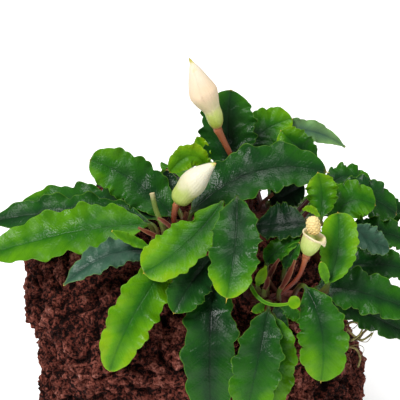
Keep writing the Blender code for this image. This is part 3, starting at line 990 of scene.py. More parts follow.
class Rhizome:
    """A creeping stem that follows the top of the stone."""

    ROUTES_MM = {
        "left": ((-18, -22), (-10.5, -17.5), (-3, -13), (4, -10)),
        "back": ((9, -8), (17, -6), (26, -6), (34, -9)),
        "front": ((12, -30), (19, -31.5), (27, -30), (34, -27)),
    }
    RADIUS = 2.3 * MM
    STEPS = 11
    NEARBY = 0.05
    FINE_STEPS = 90
    SIDES = 26
    RINGS = 9

    def __init__(self, name: str, ground: Ground) -> None:
        """Lays the stem's middle line over the ground."""
        self.name = name
        outline = [at(x, y, 0) for x, y in self.ROUTES_MM[name]]
        self.points = []
        for index in range(self.STEPS):
            point = through(outline, index / (self.STEPS - 1))
            point = ground.lifted(ground.top(point.x, point.y), self.RADIUS + CLEARANCE)
            self.points.append(point)

    def build(self, material: bpy.types.Material) -> None:
        """Makes the stem, ringed where old leaves have dropped off."""
        shares = [index / (self.FINE_STEPS - 1) for index in range(self.FINE_STEPS)]
        points = [through(self.points, share) for share in shares]
        radii = []
        for share in shares:
            taper = 0.75 + 0.25 * math.sin(math.pi * min(max(share, 0.1), 0.9))
            ring = 0.07 * abs(math.sin(math.pi * self.RINGS * share)) ** 0.4
            close = math.sqrt(max(0.02, 1 - max(0, abs(share - 0.5) * 2 - 0.93) ** 2 / 0.07**2))
            wander = 0.06 * noise.noise(Vector((share * 17, 0, self.SIDES)))
            radii.append(self.RADIUS * (taper + ring + wander) * close)
        skin = rod(f"creeping_stem_{self.name}", points, radii, self.SIDES)
        skin.finish(material, Slot.STEM, f"rhizome_{self.name}")

    def foot(self, share: float, aside_mm: float, ground: Ground) -> Vector:
        """Finds where a leaf's or a flower's stem starts.

        Args:
            share: how far along this stem.
            aside_mm: how far to its back.
            ground: what the foot stands over.

        Returns:
            The foot, just over the surface.
        """
        point = through(self.points, share)
        ahead = through(self.points, min(share + self.NEARBY, 1))
        along = ahead - through(self.points, max(share - self.NEARBY, 0))
        across = Vector((-along.y, along.x, 0)).normalized()
        point = point + across * aside_mm * MM
        return ground.lifted(ground.top(point.x, point.y), Leaf.STEM_HALF + CLEARANCE)


@dataclass
class Leaf:
    """One leaf: its stem's foot on a rhizome, its blade's line, width and ruffles, and its greens, darkened as
    painted shade on leaves that lie in shadow.
    """

    name: str
    foot: tuple[str, float, float] | Vector
    base: Vector
    middle: Vector
    tip: Vector
    width_mm: float
    facing: tuple[float, float, float] = (0, -0.54, 0.84)
    slot: Slot = Slot.LEAF_DARK
    waves: float = 4.5
    ruffle_mm: float = 1.0
    cup: float = 0.18
    widest: float = 0.45
    phase: float = 0
    # The leaf's tone at its base and at its tip; on leaves in shadow the low values are painted shade.
    tone_and_shade: tuple[float, float] = (0.27, 0.36)
    turns_at: float = 0.35
    pointed: float = 1.0
    reach: float = 0.4
    scallop: float = 1.0
    ribbon: float = 0.0
    notches: tuple[tuple[int, float, float, float], ...] = ()
    margin_fresh: float = 0.1
    veins_mm: float = 0.03
    hair_mm: float = 0.35
    stem_half_mm: float = 0.65

    STEM_HALF = 0.65 * MM
    STEM_RISE = 1.5 * MM
    STEM_STEPS = 12
    BLADE_STEPS = 84
    HAIR_STEPS = 4
    ACROSS = 21
    BASE_POWERS = (2.2, 0.8)
    TIP_POWERS = (3, 0.6)
    TIP_THINNING = 0.4
    SCALLOP = 0.08
    FINE_SCALLOP = 0.055
    FINE_WAVES = 2.35
    PUCKER_MM = 0.22
    NO_RIB_MM = 4
    BLADE_HALF_MM = 0.2
    MARGIN_HALF_MM = 0.09

    def half_widths(self, share: np.ndarray) -> np.ndarray:
        """Half the blade's width in millimetres.

        Args:
            share: places along the blade, from 0 at its base to 1 at its tip.

        Returns:
            The half width at each place.
        """
        stem = self.stem_half_mm * (1 - self.TIP_THINNING * share)
        share = np.clip((share - self.ribbon) / (1 - self.ribbon), 0, 1)
        inner, outer = self.BASE_POWERS
        rise = (1 - (1 - np.minimum(share / self.widest, 1)) ** inner) ** outer
        inner, outer = self.TIP_POWERS
        past = np.clip((share - self.widest) / (1 - self.widest), 0, 1)
        form = np.where(share < self.widest, rise, (1 - past**inner) ** (outer * self.pointed))
        return np.maximum(self.width_mm / 2 * form, stem)

    def line(self, foot: Vector) -> tuple[list[Vector], np.ndarray]:
        """Lays out the leaf's middle line.

        Args:
            foot: where the stem starts.

        Returns:
            The line's points, and the blade's share at each: below 0 on the stem, over 1 on the hair.
        """
        bend = 2 * self.middle - (self.base + self.tip) / 2
        leave = (bend - self.base).normalized()
        rise = self.base - leave * (self.base - foot).length * self.reach
        rise.z = max(rise.z, foot.z + self.STEM_RISE)
        points, shares = [], []
        for index in range(self.STEM_STEPS):
            points.append(bezier(foot, rise, self.base, index / self.STEM_STEPS))
            shares.append(index / self.STEM_STEPS - 1)
        for index in range(self.BLADE_STEPS + 1):
            share = index / self.BLADE_STEPS
            points.append(bezier(self.base, bend, self.tip, share))
            shares.append(share)
        end = (self.tip - bend).normalized()
        for index in range(1, self.HAIR_STEPS + 1):
            share = index / self.HAIR_STEPS
            points.append(self.tip + end * share * self.hair_mm * MM)
            shares.append(1 + share)
        return points, np.array(shares)

    def section(self, share: float, half: float, along: float) -> np.ndarray:
        """Shapes the leaf's section at one place.

        Args:
            share: the place's share of the blade.
            half: the half width there in millimetres.
            along: the distance from the blade's base in millimetres.

        Returns:
            Rows of (out, up) in millimetres: along the top from left to right, then back below.
        """
        spread = np.sin(np.linspace(-1, 1, self.ACROSS) * math.pi / 2 * 0.9) / math.sin(math.pi * 0.45)
        if not 0 <= share <= 1:
            turn = np.arccos(np.clip(spread, -1, 1))
            top = np.stack((half * spread, half * np.sin(turn)), axis=1)
            return np.concatenate((top, (top * (1, -1))[::-1]))
        swell = math.sin(math.pi * share)
        size = np.abs(spread)
        hand = np.sign(spread)
        wander = 0.5 * math.sin(5.1 * share + 2.3 * self.phase)
        turn = FULL_TURN * self.waves * share + self.phase + hand + wander
        fine = turn * self.FINE_WAVES + self.phase
        out = spread * half
        broad = max(0.0, min(1.0, (self.width_mm - 3) / 5))
        stretch = self.scallop * self.SCALLOP * np.cos(turn) + self.FINE_SCALLOP * (2 * np.abs(np.cos(fine / 2)) - 1)
        stretch = stretch * swell**0.7 * broad
        for side, place, spread_share, depth in self.notches:
            stretch = stretch - depth * np.exp(-(((share - place) / spread_share) ** 2)) * (hand == side)
        out = out * (1 + stretch * size**3)
        rise = half * self.cup * size**1.7
        rise += swell * self.ruffle_mm * np.sin(turn) * size**2.2
        rise += swell * self.ruffle_mm * 0.45 * np.sin(fine) * size**4
        run = (along - 1.3 * np.abs(out) ** 0.8) / 3.2 * FULL_TURN
        rise += self.veins_mm * np.cos(run) * 4 * size * (1 - size) * min(1, 2 * swell)
        pucker = np.sin(0.8 * along + 0.7 * out + self.phase) * np.sin(0.47 * along - 0.8 * out)
        rise += self.PUCKER_MM * pucker * swell * min(1, half / 3)
        strength = min(1.0, share * 8) * (1 - 0.6 * share) * max(0, min(1, (self.width_mm - 3) / 4))
        flank = np.exp(-(((np.abs(out) - 1.1) / 0.6) ** 2))
        rise += strength * (0.14 * flank - 0.24 * np.exp(-((out / 0.4) ** 2)))
        thick = self.BLADE_HALF_MM + (self.MARGIN_HALF_MM - self.BLADE_HALF_MM) * size**2
        rib = self.stem_half_mm * (1 - 0.75 * min(1.0, share * 1.6))
        bulge = np.sqrt(np.maximum(0, rib**2 - out**2))
        merge = max(0.0, 1 - share * 12)
        upper = rise + np.maximum(thick, bulge * merge)
        lower = rise - np.maximum(thick, bulge + thick * (1 - merge))
        top = np.stack((out, upper), axis=1)
        bottom = np.stack((out, lower), axis=1)
        return np.concatenate((top, bottom[::-1]))

    def build(self, material: bpy.types.Material, rhizomes: dict[str, Rhizome], ground: Ground, *nodes: str) -> None:
        """Makes the leaf.

        Args:
            material: its finish.
            rhizomes: the creeping stems by name.
            ground: what the feet stand over.
            nodes: the CAD nodes that it stands for.
        """
        foot = self.foot
        if isinstance(foot, tuple):
            rhizome, share, aside = foot
            foot = rhizomes[rhizome].foot(share, aside, ground)
        foot = foot - Vector((0, 0, self.STEM_HALF * 2))
        points, shares = self.line(foot)
        steps = [(after - before).length / MM for before, after in zip(points, points[1:])]
        along = np.concatenate(((0,), np.cumsum(steps)))
        along -= along[self.STEM_STEPS]
        halves = self.half_widths(np.clip(shares, 0, 1))
        hair = np.clip(shares - 1, 0, 1)
        halves = np.where(shares > 1, 0.13 * (1 - 0.8 * hair), halves)
        halves = np.where(shares < 0, self.stem_half_mm * (1 + 0.25 * shares**4), halves)
        look = Vector(self.facing).normalized()
        rings = []
        for index, point in enumerate(points):
            ahead = points[min(index + 1, len(points) - 1)] - points[max(index - 1, 0)]
            ahead.normalize()
            up = (look - ahead * look.dot(ahead)).normalized()
            side = ahead.cross(up)
            shape = self.section(float(shares[index]), float(halves[index]), float(along[index]))
            ring = np.array(point) + shape[:, :1] * MM * np.array(side) + shape[:, 1:] * MM * np.array(up)
            rings.append(ring)
        skin = Skin(f"{self.name}_leaf", np.array(rings))
        self.store_places(skin, shares, halves, along)
        skin.finish(material, self.slot, *nodes)

    def store_places(self, skin: Skin, shares: np.ndarray, halves: np.ndarray, along: np.ndarray) -> None:
        """Stores what the leaf's finish reads.

        Args:
            skin: the leaf's mesh.
            shares: each ring's share of the blade.
            halves: each ring's half width in millimetres.
            along: each ring's distance from the blade's base in millimetres.
        """
        spread = np.sin(np.linspace(-1, 1, self.ACROSS) * math.pi / 2 * 0.9) / math.sin(math.pi * 0.45)
        spread = np.concatenate((spread, spread[::-1]))[None, :]
        below = np.concatenate((np.zeros(self.ACROSS), np.ones(self.ACROSS)))[None, :]
        shares, halves, along = shares[:, None], halves[:, None], along[:, None]
        aside = spread * halves + (self.NO_RIB_MM if self.width_mm < self.NO_RIB_MM else 0)
        edge = halves * (1 - np.abs(spread))
        flat = np.ones_like(aside)
        skin.store("leaf_place", np.stack((aside, along * flat, edge), axis=-1))
        stem = (1 - smooth_step(-0.1, 0.07, shares)) * flat
        hair = smooth_step(0.98, 1.05, shares) * flat
        skin.store("leaf_kind", np.stack((stem, hair, below * flat), axis=-1))
        # The tone rises from base to tip; the low tones of leaves in shadow are painted shade.
        low, high = self.tone_and_shade
        tone_and_shade = low + (high - low) * smooth_step(self.turns_at, 1.0, shares) * flat
        tone_and_shade = tone_and_shade + self.margin_fresh * smooth_step(0.1, 0.95, np.abs(spread)) * (1 - below)
        skin.store("leaf_fresh", tone_and_shade)


CAMERA_SIDE = (0, -0.95, 0.3)
HANGING = (0, -1, 0.25)

LEAVES = (
    Leaf("left_long", ("left", 0.22, 0.2), seen(146, 225, -19), seen(75, 232, -21),
         seen(-12, 255, -20), 14.5, slot=Slot.LEAF_BRIGHT, ruffle_mm=1.2,
         tone_and_shade=(0.55, 0.62)),
    Leaf("left_middle", ("left", 0.32, 1.6), seen(150, 224, -12), seen(75, 213, -7),
         seen(-8, 222, -4), 11, phase=1, ruffle_mm=1.5,
         tone_and_shade=(0.27, 0.3)),
    Leaf("left_back", ("left", 0.45, 1.9), seen(158, 219, -9), seen(92, 202, 2),
         seen(22, 203, 10), 10, phase=2, ruffle_mm=1.5,
         tone_and_shade=(0.28, 0.5)),
    Leaf("back_round", ("left", 0.62, 1.0), seen(172, 216, -8), seen(135, 182, -3),
         seen(90, 160, 0), 13, facing=(0.1, -0.85, 0.5), phase=3,
         tone_and_shade=(0.3, 0.58), pointed=0.7),
    # Its near-black tone is painted shade: this leaf lies in shadow behind the white flower.
    Leaf("back_dark", ("left", 0.72, 1.9), seen(178, 210, -4), seen(170, 194, 2),
         seen(167, 170, 6), 6.5, facing=CAMERA_SIDE, ruffle_mm=0.3,
         tone_and_shade=(0.06, 0.1)),
    Leaf("underside", ("left", 0.82, 1.6), seen(206, 166, 1), seen(190, 156, 0),
         seen(170, 172, -1), 7, facing=CAMERA_SIDE, slot=Slot.LEAF_BRIGHT, ruffle_mm=0.4,
         tone_and_shade=(0.8, 0.72)),
    Leaf("centre_wide", ("left", 0.86, -0.4), seen(192, 212, -12), seen(255, 172, -5),
         seen(326, 172, -1), 15, facing=(-0.1, -0.6, 0.8), phase=0.5, scallop=1.3,
         tone_and_shade=(0.22, 0.32), hair_mm=1.2),
    Leaf("front_oval", ("left", 0.98, 0.4), seen(222, 203, -20), seen(185, 245, -34),
         seen(144, 273, -42), 13, widest=0.62, slot=Slot.LEAF_BRIGHT, ruffle_mm=0.4, scallop=0.45,
         tone_and_shade=(0.48, 0.68), margin_fresh=0.2, pointed=0.7,
         reach=0.1, notches=((1, 0.27, 0.05, 0.4),)),
    Leaf("front_low", ("left", 0.45, -1.8), seen(170, 262, -33), seen(134, 314, -43),
         seen(110, 371, -46), 12, facing=HANGING, widest=0.36, slot=Slot.LEAF_BRIGHT, phase=1.5,
         tone_and_shade=(0.56, 0.74), margin_fresh=0.2, pointed=0.9),
    Leaf("front_glossy", ("left", 0.93, -1.9), seen(212, 258, -31), seen(190, 285, -40),
         seen(174, 313, -46), 10.5, facing=HANGING, phase=2.5, pointed=1.2, ruffle_mm=0.4,
         tone_and_shade=(0.2, 0.42)),
    Leaf("grey_left", ("left", 0.03, -0.6), seen(152, 252, -27), seen(108, 256, -31),
         seen(64, 285, -34), 8.4, slot=Slot.LEAF_GREY, phase=0.8, pointed=1.9, widest=0.4,
         tone_and_shade=(0.3, 0.4)),
    Leaf("young_left", ("left", 0.23, -2.0), seen(149, 247.5, -30.5), seen(131, 240.5, -31),
         seen(112, 231, -32), 3.2, slot=Slot.LEAF_BRIGHT, ruffle_mm=0.15, phase=0.4,
         tone_and_shade=(0.58, 0.68), hair_mm=0.1, pointed=1.5),
    Leaf("centre_front", ("back", 0.03, -1.4), seen(237, 198, -21), seen(235, 245, -38),
         seen(227, 298, -47), 12.8, phase=1.2, widest=0.52, scallop=1.2,
         tone_and_shade=(0.24, 0.74), turns_at=0.55, margin_fresh=0.16, hair_mm=1.5, pointed=0.9, reach=0.1),
    Leaf("top_broad", ("back", 0.1, 1.4), seen(232, 172, 5), seen(228, 130, 10),
         seen(231, 90, 13), 15.5, facing=CAMERA_SIDE, ruffle_mm=0.6,
         tone_and_shade=(0.18, 0.4), veins_mm=0.2),
    Leaf("top_right", ("back", 0.3, 1.9), seen(238, 164, 13), seen(262, 133, 20),
         seen(292, 119, 25), 12, facing=(0, -0.7, 0.7), slot=Slot.LEAF_BRIGHT, phase=2,
         tone_and_shade=(0.34, 0.72), veins_mm=0.2),
    Leaf("folded_right", ("back", 0.4, 2.0), seen(262, 160, 15), seen(297, 131, 26),
         seen(345, 147, 30), 7, pointed=1.7, widest=0.4, facing=(0, -0.85, 0.5), slot=Slot.LEAF_GREY, phase=1,
         tone_and_shade=(0.6, 0.72)),
    Leaf("behind_wide", ("back", 0.58, 1.9), seen(316, 162, 10), seen(297, 146, 10),
         seen(281, 131, 12), 9, facing=CAMERA_SIDE, ruffle_mm=0.4,
         tone_and_shade=(0.35, 0.75)),
    # Its very dark tone is painted shade: this leaf hangs in shadow under the arching centre leaf.
    Leaf("shaded", ("back", 0.43, 0.6), seen(270, 203, -1), seen(286, 195, -1),
         seen(304, 186, 0), 8, facing=CAMERA_SIDE, ruffle_mm=0.3,
         tone_and_shade=(0.08, 0.12)),
    # Its almost black tone is painted shade: this leaf lies in the shadowed centre of the crown.
    Leaf("near_black", ("back", 0.36, -1.6), seen(256, 225, -15), seen(280, 224, -17),
         seen(306, 222, -16), 14, facing=(0, -0.3, 0.95), ruffle_mm=0.4, phase=2,
         tone_and_shade=(0.02, 0.12), veins_mm=0.05),
    Leaf("right_wavy", ("back", 0.66, 1.8), seen(328, 187, 8), seen(347, 176, 13),
         seen(371, 182, 17), 8, facing=(0, -0.4, 0.9), slot=Slot.LEAF_BRIGHT, phase=1,
         tone_and_shade=(0.35, 0.45)),
    Leaf("right_upright", ("back", 0.66, -1.2), seen(321, 217, -13), seen(322, 195, -10),
         seen(318, 173, -8), 8.5, facing=CAMERA_SIDE, slot=Slot.LEAF_BRIGHT, widest=0.6, pointed=1.5,
         tone_and_shade=(0.5, 0.8)),
    Leaf("right_dark", ("back", 0.77, 1.0), seen(340, 194, 3), seen(368, 198, 7),
         seen(396, 214, 10), 12.5, phase=2.2,
         tone_and_shade=(0.25, 0.34)),
    Leaf("far_right", ("back", 0.86, 1.8), seen(375, 219, 14), seen(392, 211, 18),
         seen(407, 210, 22), 8, phase=0.4,
         tone_and_shade=(0.25, 0.3)),
    Leaf("right_light", ("back", 0.82, -0.8), seen(333, 222, -9), seen(350, 202, -5),
         seen(375, 205, -3), 12, slot=Slot.LEAF_BRIGHT, phase=1.8,
         tone_and_shade=(0.44, 0.6)),
    Leaf("right_arched", ("back", 0.93, 0.4), seen(346, 240, -4), seen(378, 233, 0),
         seen(411, 244, 4), 10, phase=0.9,
         tone_and_shade=(0.24, 0.34)),
    Leaf("right_ribbed", ("back", 0.98, -1.4), seen(352, 226, -14), seen(370, 240, -15),
         seen(389, 248, -14), 8, slot=Slot.LEAF_GREY, ruffle_mm=0.5,
         tone_and_shade=(0.3, 0.4), veins_mm=0.25),
    Leaf("right_round", ("front", 0.62, 0.3), seen(328, 283, -37), seen(338, 250, -33),
         seen(338, 213, -28), 10, facing=CAMERA_SIDE, slot=Slot.LEAF_BRIGHT, ruffle_mm=0.2, scallop=0.5, widest=0.6,
         tone_and_shade=(0.5, 0.66), margin_fresh=0.2, pointed=0.7),
    Leaf("right_upper", ("front", 0.86, 1.6), seen(340, 268, -17), seen(375, 264, -16),
         seen(416, 273, -12), 9.5, phase=0.6,
         tone_and_shade=(0.26, 0.34)),
    Leaf("right_long", ("front", 0.78, 0.4), seen(318, 288, -32), seen(358, 292, -33),
         seen(421, 314, -30), 12.5, phase=1.4,
         tone_and_shade=(0.28, 0.4)),
    Leaf("right_low", ("front", 0.95, -0.2), seen(330, 297, -25), seen(365, 313, -24),
         seen(412, 336, -20), 10, phase=2.7,
         tone_and_shade=(0.26, 0.32)),
    Leaf("front_right", ("front", 0.5, -1.6), seen(306, 288, -38), seen(322, 330, -46),
         seen(321, 381, -48), 12.5, facing=HANGING, slot=Slot.LEAF_BRIGHT, phase=2, widest=0.6, scallop=1.2,
         tone_and_shade=(0.38, 0.72), pointed=1.0, hair_mm=0.7),
    Leaf("front_long", ("front", 0.03, -0.4), seen(214, 277, -30), seen(210, 335, -45),
         seen(211, 416, -49), 14, facing=HANGING, phase=0.2, widest=0.6, scallop=1.5,
         tone_and_shade=(0.19, 0.34)),
    Leaf("front_hanging", ("front", 0.16, -1.6), seen(268, 311, -42), seen(259, 355, -51),
         seen(247, 413, -54), 12.5, facing=HANGING, phase=1.1, widest=0.66, scallop=1.4,
         tone_and_shade=(0.25, 0.55)),
    Leaf("front_behind", ("front", 0.28, -1.8), seen(274, 318, -40), seen(278, 360, -46),
         seen(268, 413, -48), 9.5, facing=HANGING, slot=Slot.LEAF_BRIGHT, phase=0.7,
         tone_and_shade=(0.55, 0.72)),
    Leaf("under_black", ("front", 0.46, 1.6), seen(267, 264, -26), seen(278, 250, -24),
         seen(300, 237, -22), 6, slot=Slot.LEAF_BRIGHT, ruffle_mm=0.3,
         tone_and_shade=(0.42, 0.55)),
    Leaf("young_spear", ("front", 0.3, 0.0), seen(258, 284, -35), seen(262, 275, -35),
         seen(266, 266, -34), 2.8, facing=CAMERA_SIDE, slot=Slot.LEAF_BRIGHT, ruffle_mm=0, widest=0.3, pointed=2.2,
         tone_and_shade=(0.76, 0.8), hair_mm=0.1),
    Leaf("curled", ("front", 0.1, 0.8), seen(252, 288, -41), seen(270, 304, -45),
         seen(300, 300, -44), 3.5, facing=HANGING, slot=Slot.LEAF_BRIGHT, ruffle_mm=0,
         tone_and_shade=(0.62, 0.8), ribbon=0.82, stem_half_mm=0.55, hair_mm=0.1),
    Leaf("rear_left", ("left", 0.52, 1.5), at(-13, 8, 74), at(-24, 23, 72), at(-32, 38, 50),
         12, facing=(-0.2, 0.4, 1), phase=1,
         tone_and_shade=(0.3, 0.4)),
    Leaf("rear_middle", ("left", 0.93, 2.2), at(0, 6, 75), at(-5, 27, 72), at(-9, 45, 48),
         14, facing=(0, 0.4, 1), phase=2, slot=Slot.LEAF_BRIGHT,
         tone_and_shade=(0.5, 0.7)),
    Leaf("rear_high", ("back", 0.2, 2.0), at(14, 10, 70.5), at(13, 29, 69), at(13, 46, 46),
         13, facing=(0, 0.4, 1), phase=3,
         tone_and_shade=(0.27, 0.4)),
    Leaf("rear_low", ("back", 0.52, 2.2), at(23, 9, 69), at(27, 27, 62), at(29, 41, 42),
         12, facing=(0.2, 0.5, 1), phase=0.5, slot=Slot.LEAF_BRIGHT,
         tone_and_shade=(0.5, 0.68)),
    Leaf("rear_right", ("back", 0.8, 1.6), at(31, 8, 66), at(41, 24, 58), at(48, 37, 40),
         11, facing=(0.4, 0.3, 1), phase=1.5,
         tone_and_shade=(0.28, 0.4)),
)

SPROUTS = (
    Leaf("small_round", seen(208, 186, 0), seen(205, 168, 6), seen(203, 152, 7), seen(197, 137, 8),
         4.4, facing=CAMERA_SIDE, slot=Slot.LEAF_BRIGHT, tone_and_shade=(0.8, 0.85), ruffle_mm=0.3),
    Leaf("small_beside", seen(196, 200, -8), seen(205, 183, -6), seen(217, 176, -4), seen(226, 164, -2),
         4.0, facing=CAMERA_SIDE, slot=Slot.LEAF_BRIGHT, tone_and_shade=(0.7, 0.8), ruffle_mm=0.3),
    Leaf("small_right", seen(322, 284, -28), seen(334, 281, -24), seen(350, 279, -23), seen(365, 275, -22),
         4.0, tone_and_shade=(0.15, 0.2), ruffle_mm=0.4),
    Leaf("small_lance", seen(282, 278, -28), seen(285, 268, -26), seen(290, 256, -25), seen(299, 243, -24),
         4.0, facing=CAMERA_SIDE, tone_and_shade=(0.4, 0.5), ruffle_mm=0.3),
    Leaf("small_under", seen(277, 300, -34), seen(276, 306, -37), seen(280, 318, -40), seen(286, 332, -42),
         3.6, facing=HANGING, tone_and_shade=(0.16, 0.2), ruffle_mm=0.3),
    Leaf("small_tucked", seen(280, 302, -36), seen(282, 306, -38), seen(292, 313, -40), seen(303, 319, -41),
         3.4, facing=HANGING, tone_and_shade=(0.4, 0.5), ruffle_mm=0.3),
    Leaf("small_front", seen(270, 299, -38), seen(265, 304, -40), seen(259, 308, -42), seen(252, 311, -43),
         2.6, facing=HANGING, slot=Slot.LEAF_BRIGHT, tone_and_shade=(0.55, 0.6), ruffle_mm=0.2),
    Leaf("rolled_base", seen(322, 222, -14), seen(318, 216, -13), seen(311, 209, -13), seen(303, 210, -13),
         2.0, facing=CAMERA_SIDE, slot=Slot.LEAF_BRIGHT, tone_and_shade=(0.74, 0.78), hair_mm=0.1, pointed=1.6, ruffle_mm=0.2),
    Leaf("rolled_fold", seen(326, 288, -37), seen(327, 282, -37.5), seen(324, 272, -38), seen(321, 262, -38),
         2.6, facing=CAMERA_SIDE, slot=Slot.LEAF_BRIGHT, tone_and_shade=(0.6, 0.66), ruffle_mm=0.2, hair_mm=0.1),
    Leaf("scale_front", seen(279, 296, -35), seen(281, 288, -36), seen(288, 276, -36), seen(295, 260, -35),
         1.6, facing=CAMERA_SIDE, slot=Slot.STEM, tone_and_shade=(0.25, 0.6), ruffle_mm=0, cup=0.7, pointed=2.4, hair_mm=0.1),
    Leaf("scale_middle", seen(267, 290, -34), seen(268, 280, -34), seen(272, 270, -33), seen(279, 259, -33),
         1.4, facing=CAMERA_SIDE, slot=Slot.STEM, tone_and_shade=(0.2, 0.45), ruffle_mm=0, cup=0.7, pointed=2.4, hair_mm=0.1),
    Leaf("scale_short", seen(264, 292, -38), seen(265, 288, -39), seen(267, 283, -39), seen(268, 277, -38),
         1.5, facing=CAMERA_SIDE, slot=Slot.STEM, tone_and_shade=(0.3, 0.4), ruffle_mm=0, cup=0.6, pointed=2, hair_mm=0.1),
    Leaf("scale_left", seen(168, 240, -24), seen(161, 239, -26), seen(150, 234, -26), seen(138, 228, -26),
         1.4, slot=Slot.STEM, tone_and_shade=(0.4, 0.7), ruffle_mm=0, cup=0.5, pointed=2, hair_mm=0.1),
    Leaf("scale_upper", seen(178, 232, -22), seen(172, 228, -22), seen(165, 222, -21), seen(158, 218, -20),
         1.2, facing=CAMERA_SIDE, slot=Slot.STEM, tone_and_shade=(0.4, 0.6), ruffle_mm=0, cup=0.5, pointed=2, hair_mm=0.1),
)

# The stem of a leaf that was cut off, from above its foot
CUT_STEM = (seen(163, 228, -17), seen(156, 210, -16), seen(152, 193, -15))

# Bare leaf stems that show between the blades: name, points and radius in millimetres
BARE_STEMS = (
    ("bare_stem_red", (seen(182, 232, -16), seen(184, 222, -16), seen(187, 212, -15)), 0.7),
    ("bare_stem_olive", (seen(250, 210, -6), seen(251, 198, -4), seen(253, 183, -2)), 0.6),
    ("bare_stem_pale", (seen(257, 212, -6), seen(262, 203, -4), seen(273, 194, -2)), 0.55),
    ("bare_stem_front", (seen(262, 301, -38), seen(265, 306, -40), seen(268, 312, -42)), 0.7),
)


@dataclass
class Flower:
    """A flower that is still wrapped in its spathe, on its stalk."""

    name: str
    foot: tuple[str, float, float]
    stalk: tuple[Vector, ...]
    stalk_radii_mm: tuple[float, float]
    flare: float
    axis: tuple[Vector, ...]
    radii_mm: tuple[float, ...]
    seam_at: float = 0.1
    blush: float = 0.0

    STALK_STEPS = 40
    STALK_SIDES = 20
    STEPS = 64
    SIDES = 56
    NEARBY = 0.03

    def ring(self, share: float, shares_radius: np.ndarray, lift: np.ndarray) -> np.ndarray:
        """Puts a ring around the axis.

        Args:
            share: how far along the axis; past its ends it runs on straight.
            shares_radius: the radius in millimetres at each side.
            lift: how far each point is pushed along the axis, in millimetres.

        Returns:
            The ring's points.
        """
        inside = min(max(share, 0), 1)
        middle = through(self.axis, inside)
        ahead = through(self.axis, min(inside + self.NEARBY, 1)) - through(self.axis, max(inside - self.NEARBY, 0))
        ahead.normalize()
        length = (self.axis[-1] - self.axis[0]).length
        middle = middle + ahead * (share - inside) * length
        turn = ahead.to_track_quat("Z", "Y")
        angles = np.arange(self.SIDES) / self.SIDES * FULL_TURN
        side, lean = np.array(turn @ Vector((1, 0, 0))), np.array(turn @ Vector((0, 1, 0)))
        flat = np.cos(angles)[:, None] * side + np.sin(angles)[:, None] * lean
        return np.array(middle) + flat * shares_radius[:, None] * MM + np.array(ahead) * lift[:, None] * MM

    def build_stalk(self, material: bpy.types.Material, foot: Vector) -> None:
        """Makes the stalk from its foot up to the flower."""
        line = [foot - Vector((0, 0, 1.2 * MM)), *self.stalk]
        shares = [index / (self.STALK_STEPS - 1) for index in range(self.STALK_STEPS)]
        thin, thick = self.stalk_radii_mm
        points = [through(line, share) for share in shares]
        radii = [(thin + (thick - thin) * share**self.flare) * MM for share in shares]
        points.append(self.axis[0] + (self.axis[1] - self.axis[0]) * 0.1)
        radii.append(radii[-1] * 0.9)
        skin = rod(f"{self.name}_flower_stalk", points, radii, self.STALK_SIDES)
        skin.finish(material, Slot.STALK, f"stalk_{self.name}")

    def build_spathe(self, material: bpy.types.Material) -> None:
        """Makes the closed spathe, wrapped once around so that one edge lies over the other."""
        part = np.arange(self.SIDES) / self.SIDES
        rings, places = [], []
        for index in range(self.STEPS + 1):
            share = index / self.STEPS
            radius = max(through(self.radii_mm, share), 0.12)
            swell = math.sin(math.pi * min(share * 1.02, 1)) ** 0.7
            wrap = (part - self.seam_at - 0.3 * share) % 1
            radii = radius * (1 + 0.02 * swell * (1 - wrap) + 0.012 * np.cos(FULL_TURN * 3 * part + 4 * share))
            rings.append(self.ring(share, radii, np.zeros(self.SIDES)))
            blush = np.full(self.SIDES, self.blush * math.exp(-(((share - 0.5) / 0.2) ** 2)))
            places.append(np.stack((np.full(self.SIDES, share), part, blush), axis=-1))
        skin = Skin(f"{self.name}_spathe", np.array(rings))
        skin.store("petal_place", np.array(places))
        skin.finish(material, Slot.SPATHE, f"flower_{self.name}")


